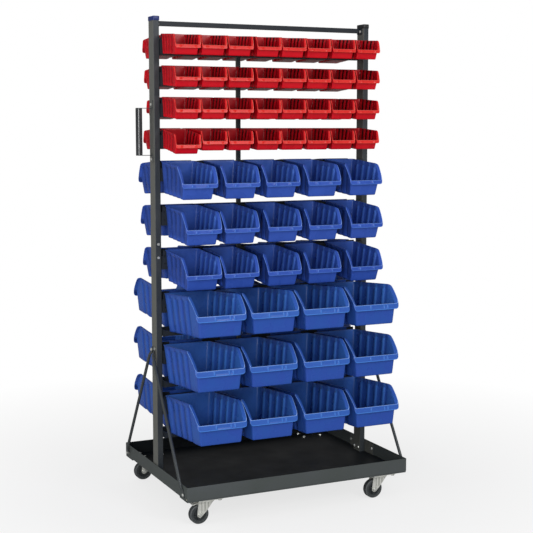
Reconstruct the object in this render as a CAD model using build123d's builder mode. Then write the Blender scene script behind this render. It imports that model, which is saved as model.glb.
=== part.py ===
from build123d import *
import math
import os

os.makedirs("parts", exist_ok=True)

# All sizes are millimetres. +Z is up from the ground, -Y is the front, and X runs along the cart.

# Tray
tray_width = 950.0
tray_depth = 717.0
tray_lip = 53.0
tray_bottom = 102.0
tray_sheet = 2.0
tray_corner = 3.0
stiffener_width = 80.0
stiffener_thickness = 5.0
stiffener_end_gap = 1.0

# Posts, their splice and their caps
post_width = 24.0
post_depth = 55.0
post_wall = 2.0
post_corner = 3.0
post_top = 1903.0
post_seam = 885.0
sleeve_clearance = 0.3
sleeve_wall = 2.0
sleeve_reach = 165.0
splice_bolt_rises = (96.5, 149.0)
bracket_thickness = 3.0
bracket_length = 200.0
bracket_height = 48.0
bracket_bolt_y = 89.5
bracket_bolt_height = 26.0
foot_bolt_y = 16.0
foot_bolt_height = 17.0
cap_height = 16.5
cap_top = 2.5
cap_wall = 1.4
cap_clearance = 0.15

# Rails that the bins hang on, and the bearers behind the large bins
rail_height = 75.0
rail_thickness = 2.0
rail_front = 36.0
rail_hole = 5.0
rail_hole_inset = 8.0
rail_hole_drops = (22.0, 53.0)
end_plate = 3.0
rail_plate_height = 52.0
rail_plate_depth = 24.0
rail_bolt_y = 20.0
rail_bolt_drop = 44.0
bearer_size = 20.0
bearer_wall = 1.5
bearer_top_drop = 147.0
bearer_plate_height = 26.0
bearer_clearance = 0.3
strut_size = 15.0
strut_wall = 1.5
strut_x = -107.0
strut_clearance = 0.3
crossbar_size = 18.0
crossbar_wall = 1.5
crossbar_drop = 23.0
crossbar_y = 14.0
crossbar_plate_reach = 14.0
crossbar_plate_height = 24.0
crossbar_bolt_y = -5.0

# Bins: length runs from the back wall to the front band, measured along the rim
small_bin_length = 161.0
small_bin_width = 106.0
small_bin_height = 75.0
small_bin_rim_run = 138.0
small_bin_lip_drop = 37.5
small_bin_band = 12.0
small_bin_front_lean = 12.0
small_bin_side_taper = 5.0
small_bin_back_taper = 7.0
small_bin_wall = 1.8
small_bin_tilt = 4.0
medium_bin_length = 242.0
medium_bin_width = 153.0
medium_bin_height = 124.0
medium_bin_rim_run = 184.0
medium_bin_lip_drop = 62.0
medium_bin_band = 15.5
medium_bin_front_lean = 17.0
medium_bin_side_taper = 9.0
medium_bin_back_taper = 11.0
medium_bin_wall = 2.2
medium_bin_tilt = 4.2
large_bin_length = 348.0
large_bin_width = 212.0
large_bin_height = 152.0
large_bin_rim_run = 266.0
large_bin_lip_drop = 72.0
large_bin_band = 22.0
large_bin_front_lean = 12.0
large_bin_side_taper = 14.0
large_bin_back_taper = 5.0
large_bin_wall = 2.6
large_bin_tilt = -4.4
rim_thickness = 3.0
rim_reach = 2.0
flange_reach = 5.5
flange_thickness = 3.0
band_ledge = 7.5
band_rake = 3.5
hook_width_share = 0.66
hook_thickness = 2.5
hook_drop = 9.0
hook_clearance = 0.3

# Bin rows: the height of the top row's rim in each size, and the pitch of the rows under it
small_row_top = 1838.5
small_row_pitch = 119.0
small_row_count = 4
medium_row_top = 1355.5
medium_row_pitch = 171.0
medium_row_count = 3
large_row_top = 843.0
large_row_pitch = 203.0
large_row_count = 3
# The rear rows are the front ones turned half round, then pushed along their rails by these amounts
small_rear_shifts = (-9.4, -4.0, 4.5, -9.4)
medium_rear_shifts = (-34.8, -22.2, -12.6)
large_rear_shifts = (-9.6, -10.6, -6.3)

# Braces between the posts and the tray's side walls
brace_diameter = 12.0
brace_tab_thickness = 3.0
brace_tab_width = 17.0
brace_tab_length = 13.0
brace_neck = 16.0
brace_tab_end = 12.0
brace_top = 618.0
brace_foot_y = 323.0
brace_foot_height = 18.0
washer_diameter = 16.0

# Handle on the left post
grip_diameter = 25.4
grip_wall = 1.5
grip_length = 178.0
grip_bottom = 1378.5
grip_reach = 52.0
strap_width = 25.0
strap_thickness = 2.0
strap_flange = 31.0

# Bolts
bolt_diameter = 6.0
bolt_head_width = 10.0
bolt_head_height = 4.0
bolt_clearance = 0.2
caster_bolt_diameter = 8.0
caster_bolt_head_width = 13.0
caster_bolt_head_height = 5.0
caster_nut_height = 6.0

# Casters
caster_x = 378.0
caster_y = 316.0
caster_plate_length = 100.0
caster_plate_width = 78.0
caster_plate_thickness = 2.5
caster_plate_corner = 6.0
caster_hole_x = 40.0
caster_hole_y = 29.0
caster_trail = 36.0
race_diameter = 50.0
race_height = 3.5
race_gap = 0.3
kingpin_diameter = 12.0
kingpin_head_diameter = 20.0
kingpin_head_height = 2.5
running_clearance = 0.05
crown_diameter = 54.0
crown_thickness = 3.0
fork_inside = 29.0
fork_leg_thickness = 2.5
fork_eye_radius = 11.0
fork_leg_front = 23.0
fork_leg_back = 33.0
wheel_diameter = 75.0
tyre_width = 25.0
tyre_thickness = 11.0
tyre_round = 3.0
hub_length = 28.0
hub_boss_diameter = 26.0
hub_web = 9.0
hub_rim_thickness = 4.0
axle_diameter = 8.0
axle_head_width = 13.0
axle_head_height = 5.0
brake_pin_x = 24.0
brake_pin_z = 82.0
brake_pin_diameter = 5.0
brake_thickness = 3.0
brake_nose = 10.0
brake_width = 26.0
brake_flat_end = 54.0
brake_pedal_start = 41.0
brake_pedal_width = 40.0
brake_tip = 66.0
brake_tip_drop = 4.0

# Where the pieces lie, worked out from the sizes above
tray_floor = tray_bottom + tray_sheet
tray_side = tray_width / 2
bracket_face = tray_side - tray_sheet
post_outer = bracket_face - bracket_thickness
post_inner = post_outer - post_width
post_middle = (post_outer + post_inner) / 2
grip_out = post_outer + grip_reach + grip_diameter / 2
brace_out = tray_side + brace_tab_thickness + brace_diameter
# The handle stands out on the left alone, so the cart's middle lies to the right of the origin
cart_x = (grip_out - brace_out) / 2
bolt_radius = bolt_diameter / 2
bolt_hole_radius = bolt_radius + bolt_clearance
axle_z = wheel_diameter / 2
caster_top = tray_bottom - stiffener_thickness
race_bottom = caster_top - caster_plate_thickness - race_height
crown_top = race_bottom - race_gap
crown_bottom = crown_top - crown_thickness
caster_bolt_hole = caster_bolt_diameter / 2 + bolt_clearance
overrun = 5.0
half_turn = 180.0
hexagon_sides = 6

small_rows = [small_row_top - n * small_row_pitch for n in range(small_row_count)]
medium_rows = [medium_row_top - n * medium_row_pitch for n in range(medium_row_count)]
large_rows = [large_row_top - n * large_row_pitch for n in range(large_row_count)]

# Middle of each bin along its row, as a share of the distance from the cart's middle to a post
small_bin_shares = [(-0.880, -0.640, -0.395, -0.130, 0.110, 0.355, 0.600, 0.847)] * small_row_count
medium_bin_shares = [
    (-0.850, -0.461, -0.081, 0.319, 0.733),
    (-0.816, -0.467, -0.063, 0.330, 0.745),
    (-0.818, -0.470, -0.066, 0.327, 0.750),
]
large_bin_shares = [
    (-0.771, -0.281, 0.208, 0.700),
    (-0.783, -0.294, 0.213, 0.704),
    (-0.768, -0.293, 0.216, 0.7146),
]
# The side wall's edge from the end of the level rim down to the front lip: run and drop
front_curve_shares = [(0.0, 0.0), (0.34, 0.17), (0.62, 0.45), (0.89, 0.78), (1.0, 1.0)]


def level(z):
    """Horizontal plane at height z, with its origin on the cart's middle."""
    return Plane(origin=(cart_x, 0, z))


def facing_side(x):
    """Upright plane at x from the cart's middle that looks along +X; its axes are Y and Z."""
    return Plane(origin=(cart_x + x, 0, 0), x_dir=(0, 1, 0), z_dir=(1, 0, 0))


def facing_front(y):
    """Upright plane at y that looks along -Y; its axes are X from the cart's middle, and Z."""
    return Plane(origin=(cart_x, y, 0), x_dir=(1, 0, 0), z_dir=(0, -1, 0))


# Base tray: a folded sheet pan with two strips welded on underneath for the casters
caster_places = [(sx * caster_x, sy * caster_y) for sx in (-1, 1) for sy in (-1, 1)]
caster_holes = [
    (x + sx * caster_hole_x, y + sy * caster_hole_y)
    for x, y in caster_places
    for sx in (-1, 1)
    for sy in (-1, 1)
]
foot_holes = [(y, tray_floor + foot_bolt_height) for y in (-foot_bolt_y, foot_bolt_y)]
bracket_holes = [(y, tray_floor + bracket_bolt_height) for y in (-bracket_bolt_y, bracket_bolt_y)]
brace_foot_places = [(y, tray_bottom + brace_foot_height) for y in (-brace_foot_y, brace_foot_y)]
with BuildPart() as base_tray:
    with BuildSketch(level(tray_bottom)):
        RectangleRounded(tray_width, tray_depth, tray_corner)
    extrude(amount=tray_lip)
    with BuildSketch(level(tray_floor)):
        RectangleRounded(tray_width - 2 * tray_sheet, tray_depth - 2 * tray_sheet, tray_corner - tray_sheet)
    extrude(amount=tray_lip, mode=Mode.SUBTRACT)
    with BuildSketch(level(caster_top)):
        with Locations((0, -caster_y), (0, caster_y)):
            Rectangle(tray_width - 2 * stiffener_end_gap, stiffener_width)
    extrude(amount=stiffener_thickness)
    with BuildSketch(level(caster_top)):
        with Locations(*caster_holes):
            Circle(caster_bolt_hole)
    extrude(amount=stiffener_thickness + tray_sheet, mode=Mode.SUBTRACT)
    with BuildSketch(facing_side(-tray_side)):
        with Locations(*foot_holes, *bracket_holes, *brace_foot_places):
            Circle(bolt_hole_radius)
    extrude(amount=tray_width, mode=Mode.SUBTRACT)
base_tray.part.label = "base_tray"
export_step(base_tray.part, "parts/base_tray.step")

# Foot brackets: flat plates between the tray's side walls and the posts
with BuildPart() as foot_brackets:
    for side in (-1, 1):
        with BuildSketch(facing_side(side * post_outer)):
            with Locations((0, tray_floor + bracket_height / 2)):
                Rectangle(bracket_length, bracket_height)
            with Locations(*foot_holes, *bracket_holes):
                Circle(bolt_hole_radius, mode=Mode.SUBTRACT)
        extrude(amount=side * bracket_thickness)
foot_brackets.part.label = "foot_brackets"
export_step(foot_brackets.part, "parts/foot_brackets.step")

# Heights at which the rails, bearers, crossbar, handle and splice are bolted to the posts
hook_lift = hook_thickness + hook_clearance
small_rails = [z - hook_lift for z in small_rows]
medium_rails = [z - hook_lift for z in medium_rows]
large_rails = [z - hook_lift for z in large_rows]
rail_tops = small_rails + medium_rails + large_rails
rail_bolt_places = [(sy * rail_bolt_y, z - rail_bolt_drop) for z in rail_tops for sy in (-1, 1)]
bearer_levels = [z - bearer_top_drop - bearer_size / 2 for z in large_rows]
bearer_bolt_places = [(sy * rail_bolt_y, z) for z in bearer_levels for sy in (-1, 1)]
crossbar_z = post_top - crossbar_drop
cap_bottom = post_top + cap_top - cap_height
crossbar_plate_top = cap_bottom - sleeve_clearance
crossbar_bolt = (crossbar_bolt_y, crossbar_plate_top - crossbar_plate_height / 2)
grip_top = grip_bottom + grip_length
strap_bolt_rise = strap_flange / 2
handle_bolt_places = [(0, grip_bottom - strap_bolt_rise), (0, grip_top + strap_bolt_rise)]
inner_post_holes = rail_bolt_places + bearer_bolt_places + [crossbar_bolt] + foot_holes
outer_post_holes = [(0, brace_top)] + foot_holes
splice_front_heights = [post_seam + rise for rise in splice_bolt_rises]
splice_rear_heights = [post_seam - rise for rise in splice_bolt_rises]


def make_post(side, bottom, top):
    """One length of post on one side, rounded rectangular tube with the holes that fall within it."""
    inner_holes = [p for p in inner_post_holes if bottom < p[1] < top]
    outer_holes = [p for p in outer_post_holes if bottom < p[1] < top]
    if side < 0:
        outer_holes = outer_holes + [p for p in handle_bolt_places if bottom < p[1] < top]
    front_holes = [(side * post_middle, z) for z in splice_front_heights if bottom < z < top]
    rear_holes = [(side * post_middle, z) for z in splice_rear_heights if bottom < z < top]
    with BuildPart() as post:
        with BuildSketch(level(bottom)):
            with Locations((side * post_middle, 0)):
                RectangleRounded(post_width, post_depth, post_corner)
                RectangleRounded(
                    post_width - 2 * post_wall,
                    post_depth - 2 * post_wall,
                    post_corner - post_wall,
                    mode=Mode.SUBTRACT,
                )
        extrude(amount=top - bottom)
        with BuildSketch(facing_side(side * post_inner)):
            with Locations(*inner_holes):
                Circle(bolt_hole_radius)
        extrude(amount=side * post_wall, mode=Mode.SUBTRACT)
        if outer_holes:
            with BuildSketch(facing_side(side * post_outer)):
                with Locations(*outer_holes):
                    Circle(bolt_hole_radius)
            extrude(amount=-side * post_wall, mode=Mode.SUBTRACT)
        if front_holes:
            with BuildSketch(facing_front(-post_depth / 2)):
                with Locations(*front_holes):
                    Circle(bolt_hole_radius)
            extrude(amount=-post_wall, mode=Mode.SUBTRACT)
        if rear_holes:
            with BuildSketch(facing_front(post_depth / 2)):
                with Locations(*rear_holes):
                    Circle(bolt_hole_radius)
            extrude(amount=post_wall, mode=Mode.SUBTRACT)
    return post


left_lower_post = make_post(-1, tray_floor, post_seam)
left_lower_post.part.label = "left_lower_post"
export_step(left_lower_post.part, "parts/left_lower_post.step")

right_lower_post = make_post(1, tray_floor, post_seam)
right_lower_post.part.label = "right_lower_post"
export_step(right_lower_post.part, "parts/right_lower_post.step")

left_upper_post = make_post(-1, post_seam, post_top)
left_upper_post.part.label = "left_upper_post"
export_step(left_upper_post.part, "parts/left_upper_post.step")

right_upper_post = make_post(1, post_seam, post_top)
right_upper_post.part.label = "right_upper_post"
export_step(right_upper_post.part, "parts/right_upper_post.step")

# Splice sleeves: tubes inside the posts, across the seam between the two lengths
sleeve_width = post_width - 2 * post_wall - 2 * sleeve_clearance
sleeve_depth = post_depth - 2 * post_wall - 2 * sleeve_clearance
sleeve_front = sleeve_depth / 2
with BuildPart() as splice_sleeves:
    with BuildSketch(level(post_seam - sleeve_reach)):
        with Locations((-post_middle, 0), (post_middle, 0)):
            Rectangle(sleeve_width, sleeve_depth)
            Rectangle(sleeve_width - 2 * sleeve_wall, sleeve_depth - 2 * sleeve_wall, mode=Mode.SUBTRACT)
    extrude(amount=2 * sleeve_reach)
    with BuildSketch(facing_front(-sleeve_front)):
        with Locations(*[(side * post_middle, z) for side in (-1, 1) for z in splice_front_heights]):
            Circle(bolt_hole_radius)
    extrude(amount=-sleeve_wall, mode=Mode.SUBTRACT)
    with BuildSketch(facing_front(sleeve_front)):
        with Locations(*[(side * post_middle, z) for side in (-1, 1) for z in splice_rear_heights]):
            Circle(bolt_hole_radius)
    extrude(amount=sleeve_wall, mode=Mode.SUBTRACT)
splice_sleeves.part.label = "splice_sleeves"
export_step(splice_sleeves.part, "parts/splice_sleeves.step")


def make_cap(side):
    """A moulded cap pushed over the top of one post."""
    cap_width = post_width + 2 * cap_clearance + 2 * cap_wall
    cap_depth = post_depth + 2 * cap_clearance + 2 * cap_wall
    cap_round = post_corner + cap_clearance + cap_wall
    with BuildPart() as cap:
        with BuildSketch(level(cap_bottom)):
            with Locations((side * post_middle, 0)):
                RectangleRounded(cap_width, cap_depth, cap_round)
        extrude(amount=cap_height)
        chamfer(cap.faces().sort_by(Axis.Z)[-1].edges(), length=cap_wall / 2)
        with BuildSketch(level(cap_bottom)):
            with Locations((side * post_middle, 0)):
                RectangleRounded(
                    post_width + 2 * cap_clearance,
                    post_depth + 2 * cap_clearance,
                    post_corner + cap_clearance,
                )
        extrude(amount=cap_height - cap_top, mode=Mode.SUBTRACT)
    return cap


left_cap = make_cap(-1)
left_cap.part.label = "left_cap"
export_step(left_cap.part, "parts/left_cap.step")

right_cap = make_cap(1)
right_cap.part.label = "right_cap"
export_step(right_cap.part, "parts/right_cap.step")

# Top crossbar: square tube behind the posts' middle line, with an end plate on each post
crossbar_back = crossbar_y + crossbar_size / 2
crossbar_plate_span = crossbar_back + crossbar_plate_reach
crossbar_plate_y = (crossbar_back - crossbar_plate_reach) / 2
crossbar_half = post_inner - end_plate
with BuildPart() as top_crossbar:
    with BuildSketch(facing_side(-crossbar_half)):
        with Locations((crossbar_y, crossbar_z)):
            Rectangle(crossbar_size, crossbar_size)
            Rectangle(
                crossbar_size - 2 * crossbar_wall, crossbar_size - 2 * crossbar_wall, mode=Mode.SUBTRACT
            )
    extrude(amount=2 * crossbar_half)
    for side in (-1, 1):
        with BuildSketch(facing_side(side * post_inner)):
            with Locations((crossbar_plate_y, crossbar_plate_top - crossbar_plate_height / 2)):
                Rectangle(crossbar_plate_span, crossbar_plate_height)
            with Locations(crossbar_bolt):
                Circle(bolt_hole_radius, mode=Mode.SUBTRACT)
        extrude(amount=-side * end_plate)
top_crossbar.part.label = "top_crossbar"
export_step(top_crossbar.part, "parts/top_crossbar.step")

# Centre strut: square tube held between the front and rear rails
strut_bottom = large_rails[-1] - rail_height
with BuildPart() as centre_strut:
    with BuildSketch(level(strut_bottom)):
        with Locations((strut_x, 0)):
            Rectangle(strut_size, strut_size)
            Rectangle(strut_size - 2 * strut_wall, strut_size - 2 * strut_wall, mode=Mode.SUBTRACT)
    extrude(amount=rail_tops[0] - strut_bottom)
centre_strut.part.label = "centre_strut"
export_step(centre_strut.part, "parts/centre_strut.step")

# Rails: folded strips, front and rear, with an upright web, a foot turned in and a plate at each end
rail_foot_reach = strut_size / 2 + strut_clearance
web_half = post_inner - end_plate
rail_hole_x = web_half - rail_hole_inset


rail_plate_y = (rail_front + rail_foot_reach) / 2


def make_rails(tops):
    """The front and rear rails of one bin size at every height in tops."""
    with BuildPart() as rails:
        for top in tops:
            bottom = top - rail_height
            hole_places = [(sx * rail_hole_x, top - drop) for sx in (-1, 1) for drop in rail_hole_drops]
            for face in (-1, 1):
                web = Plane(
                    origin=(cart_x, face * rail_front, 0), x_dir=(1, 0, 0), z_dir=(0, -1, 0)
                )
                with BuildSketch(web):
                    with Locations((0, top - rail_height / 2)):
                        Rectangle(2 * web_half, rail_height)
                    with Locations(*hole_places):
                        Circle(rail_hole / 2, mode=Mode.SUBTRACT)
                extrude(amount=face * rail_thickness)
                with BuildSketch(level(bottom)):
                    with Locations((0, face * rail_plate_y)):
                        Rectangle(2 * web_half, rail_front - rail_foot_reach)
                extrude(amount=rail_thickness)
                for side in (-1, 1):
                    with BuildSketch(facing_side(side * post_inner)):
                        with Locations((face * rail_plate_y, bottom + rail_plate_height / 2)):
                            Rectangle(rail_front - rail_foot_reach, rail_plate_height)
                        with Locations((face * rail_bolt_y, top - rail_bolt_drop)):
                            Circle(bolt_hole_radius, mode=Mode.SUBTRACT)
                    extrude(amount=-side * end_plate)
    return rails


small_bin_rails = make_rails(small_rails)
small_bin_rails.part.label = "small_bin_rails"
export_step(small_bin_rails.part, "parts/small_bin_rails.step")

medium_bin_rails = make_rails(medium_rails)
medium_bin_rails.part.label = "medium_bin_rails"
export_step(medium_bin_rails.part, "parts/medium_bin_rails.step")

# Large bins: rails above, and bearers of square tube low behind the bins, which lean back on them
large_rails_alone = make_rails(large_rails)
large_angle = math.radians(abs(large_bin_tilt))
back_lean = math.sin(large_angle) + math.cos(large_angle) * large_bin_back_taper / large_bin_height
bearer_front = rail_front + hook_clearance + bearer_top_drop * back_lean - bearer_clearance
bearer_middle = bearer_front - bearer_size / 2
bearer_inside = bearer_size - 2 * bearer_wall
with BuildPart() as large_bin_rails:
    add(large_rails_alone.part)
    for z in bearer_levels:
        for face in (-1, 1):
            with BuildSketch(facing_side(-web_half)):
                with Locations((face * bearer_middle, z)):
                    Rectangle(bearer_size, bearer_size)
                    Rectangle(bearer_inside, bearer_inside, mode=Mode.SUBTRACT)
            extrude(amount=2 * web_half)
            for side in (-1, 1):
                with BuildSketch(facing_side(side * post_inner)):
                    with Locations((face * (bearer_front + rail_foot_reach) / 2, z)):
                        Rectangle(bearer_front - rail_foot_reach, bearer_plate_height)
                    with Locations((face * rail_bolt_y, z)):
                        Circle(bolt_hole_radius, mode=Mode.SUBTRACT)
                extrude(amount=-side * end_plate)
large_bin_rails.part.label = "large_bin_rails"
export_step(large_bin_rails.part, "parts/large_bin_rails.step")

# Handle on the left post: a round grip between two bent straps
grip_x = -(post_outer + grip_reach)
with BuildPart() as handle_grip:
    with BuildSketch(level(grip_bottom)):
        with Locations((grip_x, 0)):
            Circle(grip_diameter / 2)
            Circle(grip_diameter / 2 - grip_wall, mode=Mode.SUBTRACT)
    extrude(amount=grip_length)
handle_grip.part.label = "handle_grip"
export_step(handle_grip.part, "parts/handle_grip.step")

strap_reach = grip_reach + grip_diameter / 2
with BuildPart() as handle_brackets:
    for base, rise in ((grip_top, 1), (grip_bottom, -1)):
        with BuildSketch(level(base)):
            with Locations((-post_outer - strap_reach / 2 + strap_width / 4, 0)):
                Rectangle(strap_reach - strap_width / 2, strap_width)
            with Locations((grip_x, 0)):
                Circle(strap_width / 2)
        extrude(amount=rise * strap_thickness)
        with BuildSketch(facing_side(-post_outer)):
            with Locations((0, base + rise * strap_flange / 2)):
                Rectangle(strap_width, strap_flange)
            with Locations((0, base + rise * strap_bolt_rise)):
                Circle(bolt_hole_radius, mode=Mode.SUBTRACT)
        extrude(amount=-strap_thickness)
handle_brackets.part.label = "handle_brackets"
export_step(handle_brackets.part, "parts/handle_brackets.step")

# Braces: round bar with both ends pressed flat; the rear brace of a pair lies over the front one
brace_foot_z = tray_bottom + brace_foot_height
brace_run = math.hypot(brace_foot_y, brace_top - brace_foot_z)


def make_brace(side, face):
    """The brace on one side of the cart (side) that runs down to the front or the rear (face)."""
    inner = tray_side if face < 0 else tray_side + brace_tab_thickness
    along = Vector(0, face * brace_foot_y, brace_foot_z - brace_top)
    apex = Vector(cart_x + side * (inner + brace_diameter / 2), 0, brace_top)

    def across(distance):
        return Plane(origin=apex + along * (distance / brace_run), x_dir=(side, 0, 0), z_dir=along)

    tab_x = (brace_tab_thickness - brace_diameter) / 2
    holes_x = cart_x + side * inner
    with BuildPart() as brace:
        for start, turn in ((0, 1), (brace_run, -1)):
            with BuildSketch(across(start - turn * brace_tab_end)):
                with Locations((tab_x, 0)):
                    Rectangle(brace_tab_thickness, brace_tab_width)
            extrude(amount=turn * (brace_tab_end + brace_tab_length))
            with BuildSketch(across(start + turn * brace_tab_length)):
                with Locations((tab_x, 0)):
                    Rectangle(brace_tab_thickness, brace_tab_width)
            with BuildSketch(across(start + turn * (brace_tab_length + brace_neck))):
                Circle(brace_diameter / 2)
            loft()
        with BuildSketch(across(brace_tab_length + brace_neck)):
            Circle(brace_diameter / 2)
        extrude(amount=brace_run - 2 * (brace_tab_length + brace_neck))
        with BuildSketch(Plane(origin=(holes_x, 0, 0), x_dir=(0, 1, 0), z_dir=(1, 0, 0))):
            with Locations((0, brace_top), (face * brace_foot_y, brace_foot_z)):
                Circle(bolt_hole_radius)
        extrude(amount=side * brace_tab_thickness, mode=Mode.SUBTRACT)
    return brace


left_front_brace = make_brace(-1, -1)
left_front_brace.part.label = "left_front_brace"
export_step(left_front_brace.part, "parts/left_front_brace.step")

left_rear_brace = make_brace(-1, 1)
left_rear_brace.part.label = "left_rear_brace"
export_step(left_rear_brace.part, "parts/left_rear_brace.step")

right_front_brace = make_brace(1, -1)
right_front_brace.part.label = "right_front_brace"
export_step(right_front_brace.part, "parts/right_front_brace.step")

right_rear_brace = make_brace(1, 1)
right_rear_brace.part.label = "right_rear_brace"
export_step(right_rear_brace.part, "parts/right_rear_brace.step")

# Bolts: hexagon heads with plain shanks, the spacers under the braces, and the caster bolts with
# their heads on the tray floor and nuts under the caster plates. Each entry of side_bolts gives the
# side, the place in Y and Z, the face under the head, the way the shank runs and its length.
brace_lap = 2 * brace_tab_thickness
brace_gap = tray_side - post_outer
side_bolts = []
for side in (-1, 1):
    for y, z in rail_bolt_places + bearer_bolt_places + [crossbar_bolt]:
        side_bolts.append((side, y, z, post_inner - end_plate, side, end_plate + post_wall))
    for y, z in foot_holes:
        side_bolts.append((side, y, z, post_inner, side, tray_side - post_inner))
    for y, z in bracket_holes:
        side_bolts.append((side, y, z, post_outer, side, bracket_thickness + tray_sheet))
    side_bolts.append((side, 0, brace_top, tray_side + brace_lap, -side, brace_lap + brace_gap + post_wall))
    for y, z in brace_foot_places:
        lap = brace_lap if y > 0 else brace_tab_thickness
        side_bolts.append((side, y, z, tray_side + lap, -side, tray_sheet + lap))
for y, z in handle_bolt_places:
    side_bolts.append((-1, y, z, post_outer + strap_thickness, 1, strap_thickness + post_wall))
head_radius = bolt_head_width / math.sqrt(3)
caster_head_radius = caster_bolt_head_width / math.sqrt(3)
caster_plate_bottom = caster_top - caster_plate_thickness
with BuildPart() as bolts:
    for side, y, z, seat, way, length in side_bolts:
        with BuildSketch(facing_side(side * seat)):
            with Locations((y, z)):
                RegularPolygon(head_radius, hexagon_sides)
        extrude(amount=-way * bolt_head_height)
        with BuildSketch(facing_side(side * seat)):
            with Locations((y, z)):
                Circle(bolt_radius)
        extrude(amount=way * length)
    for face, heights in ((-1, splice_front_heights), (1, splice_rear_heights)):
        with BuildSketch(facing_front(face * post_depth / 2)):
            with Locations(*[(side * post_middle, z) for side in (-1, 1) for z in heights]):
                RegularPolygon(head_radius, hexagon_sides)
        extrude(amount=-face * bolt_head_height)
        with BuildSketch(facing_front(face * post_depth / 2)):
            with Locations(*[(side * post_middle, z) for side in (-1, 1) for z in heights]):
                Circle(bolt_radius)
        extrude(amount=face * (post_wall + sleeve_clearance + sleeve_wall))
    for side in (-1, 1):
        with BuildSketch(facing_side(side * post_outer)):
            with Locations((0, brace_top)):
                Circle(washer_diameter / 2)
                Circle(bolt_hole_radius, mode=Mode.SUBTRACT)
        extrude(amount=side * brace_gap)
        with BuildSketch(facing_side(side * tray_side)):
            with Locations(brace_foot_places[-1]):
                Circle(washer_diameter / 2)
                Circle(bolt_hole_radius, mode=Mode.SUBTRACT)
        extrude(amount=side * brace_tab_thickness)
    with BuildSketch(level(tray_floor)):
        with Locations(*caster_holes):
            RegularPolygon(caster_head_radius, hexagon_sides)
    extrude(amount=caster_bolt_head_height)
    with BuildSketch(level(caster_plate_bottom)):
        with Locations(*caster_holes):
            Circle(caster_bolt_diameter / 2)
    extrude(amount=tray_floor - caster_plate_bottom)
    with BuildSketch(level(caster_plate_bottom)):
        with Locations(*caster_holes):
            RegularPolygon(caster_head_radius, hexagon_sides)
    extrude(amount=-caster_nut_height)
bolts.part.label = "bolts"
export_step(bolts.part, "parts/bolts.step")

# Caster plates: top plate, upper ball race and the kingpin that the fork turns on
with BuildPart() as caster_plates:
    with BuildSketch(level(caster_plate_bottom)):
        with Locations(*caster_places):
            RectangleRounded(caster_plate_length, caster_plate_width, caster_plate_corner)
        with Locations(*caster_holes):
            Circle(caster_bolt_hole, mode=Mode.SUBTRACT)
    extrude(amount=caster_plate_thickness)
    with BuildSketch(level(race_bottom)):
        with Locations(*caster_places):
            Circle(race_diameter / 2)
    extrude(amount=race_height)
    with BuildSketch(level(crown_bottom - race_gap)):
        with Locations(*caster_places):
            Circle(kingpin_diameter / 2)
    extrude(amount=race_bottom - crown_bottom + race_gap)
    with BuildSketch(level(crown_bottom - race_gap - kingpin_head_height)):
        with Locations(*caster_places):
            Circle(kingpin_head_diameter / 2)
    extrude(amount=kingpin_head_height)
caster_plates.part.label = "caster_plates"
export_step(caster_plates.part, "parts/caster_plates.step")

# Casters: every wheel trails towards the left
leg_half = fork_inside / 2 + fork_leg_thickness
axle_half = leg_half
hub_rim_radius = wheel_diameter / 2 - tyre_thickness
caster_names = ("left_front", "left_rear", "right_front", "right_rear")


def make_fork(x, y, braked):
    """Pressed crown with two legs that run down to the axle; it turns about (x, y)."""
    wheel_x = x - caster_trail
    bores = [(wheel_x, axle_z, axle_diameter / 2 + running_clearance)]
    if braked:
        bores.append((x - brake_pin_x, brake_pin_z, brake_pin_diameter / 2 + running_clearance))
    with BuildPart() as fork:
        with BuildSketch(level(crown_bottom)):
            with Locations((x, y)):
                Circle(crown_diameter / 2)
            with Locations((x + (fork_leg_front - fork_leg_back) / 2, y)):
                Rectangle(fork_leg_front + fork_leg_back, 2 * leg_half)
        extrude(amount=crown_thickness)
        with BuildSketch(Plane(origin=(cart_x, y - leg_half, 0), x_dir=(1, 0, 0), z_dir=(0, -1, 0))):
            with BuildLine():
                Polyline(
                    (x + fork_leg_front, crown_bottom),
                    (x - fork_leg_back, crown_bottom),
                    (wheel_x - fork_eye_radius, axle_z),
                    (wheel_x + fork_eye_radius, axle_z),
                    close=True,
                )
            make_face()
            with Locations((wheel_x, axle_z)):
                Circle(fork_eye_radius)
        extrude(amount=-2 * leg_half)
        with BuildSketch(Plane(origin=(cart_x, y - fork_inside / 2, 0), x_dir=(1, 0, 0), z_dir=(0, -1, 0))):
            with Locations((wheel_x, crown_bottom / 2)):
                Rectangle(wheel_diameter + caster_plate_length, crown_bottom)
        extrude(amount=-fork_inside, mode=Mode.SUBTRACT)
        with BuildSketch(level(crown_bottom)):
            with Locations((x, y)):
                Circle(kingpin_diameter / 2 + running_clearance)
        extrude(amount=crown_thickness, mode=Mode.SUBTRACT)
        with BuildSketch(Plane(origin=(cart_x, y - leg_half, 0), x_dir=(1, 0, 0), z_dir=(0, -1, 0))):
            for bore_x, bore_z, bore_radius in bores:
                with Locations((bore_x, bore_z)):
                    Circle(bore_radius)
        extrude(amount=-2 * leg_half, mode=Mode.SUBTRACT)
    return fork


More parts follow.
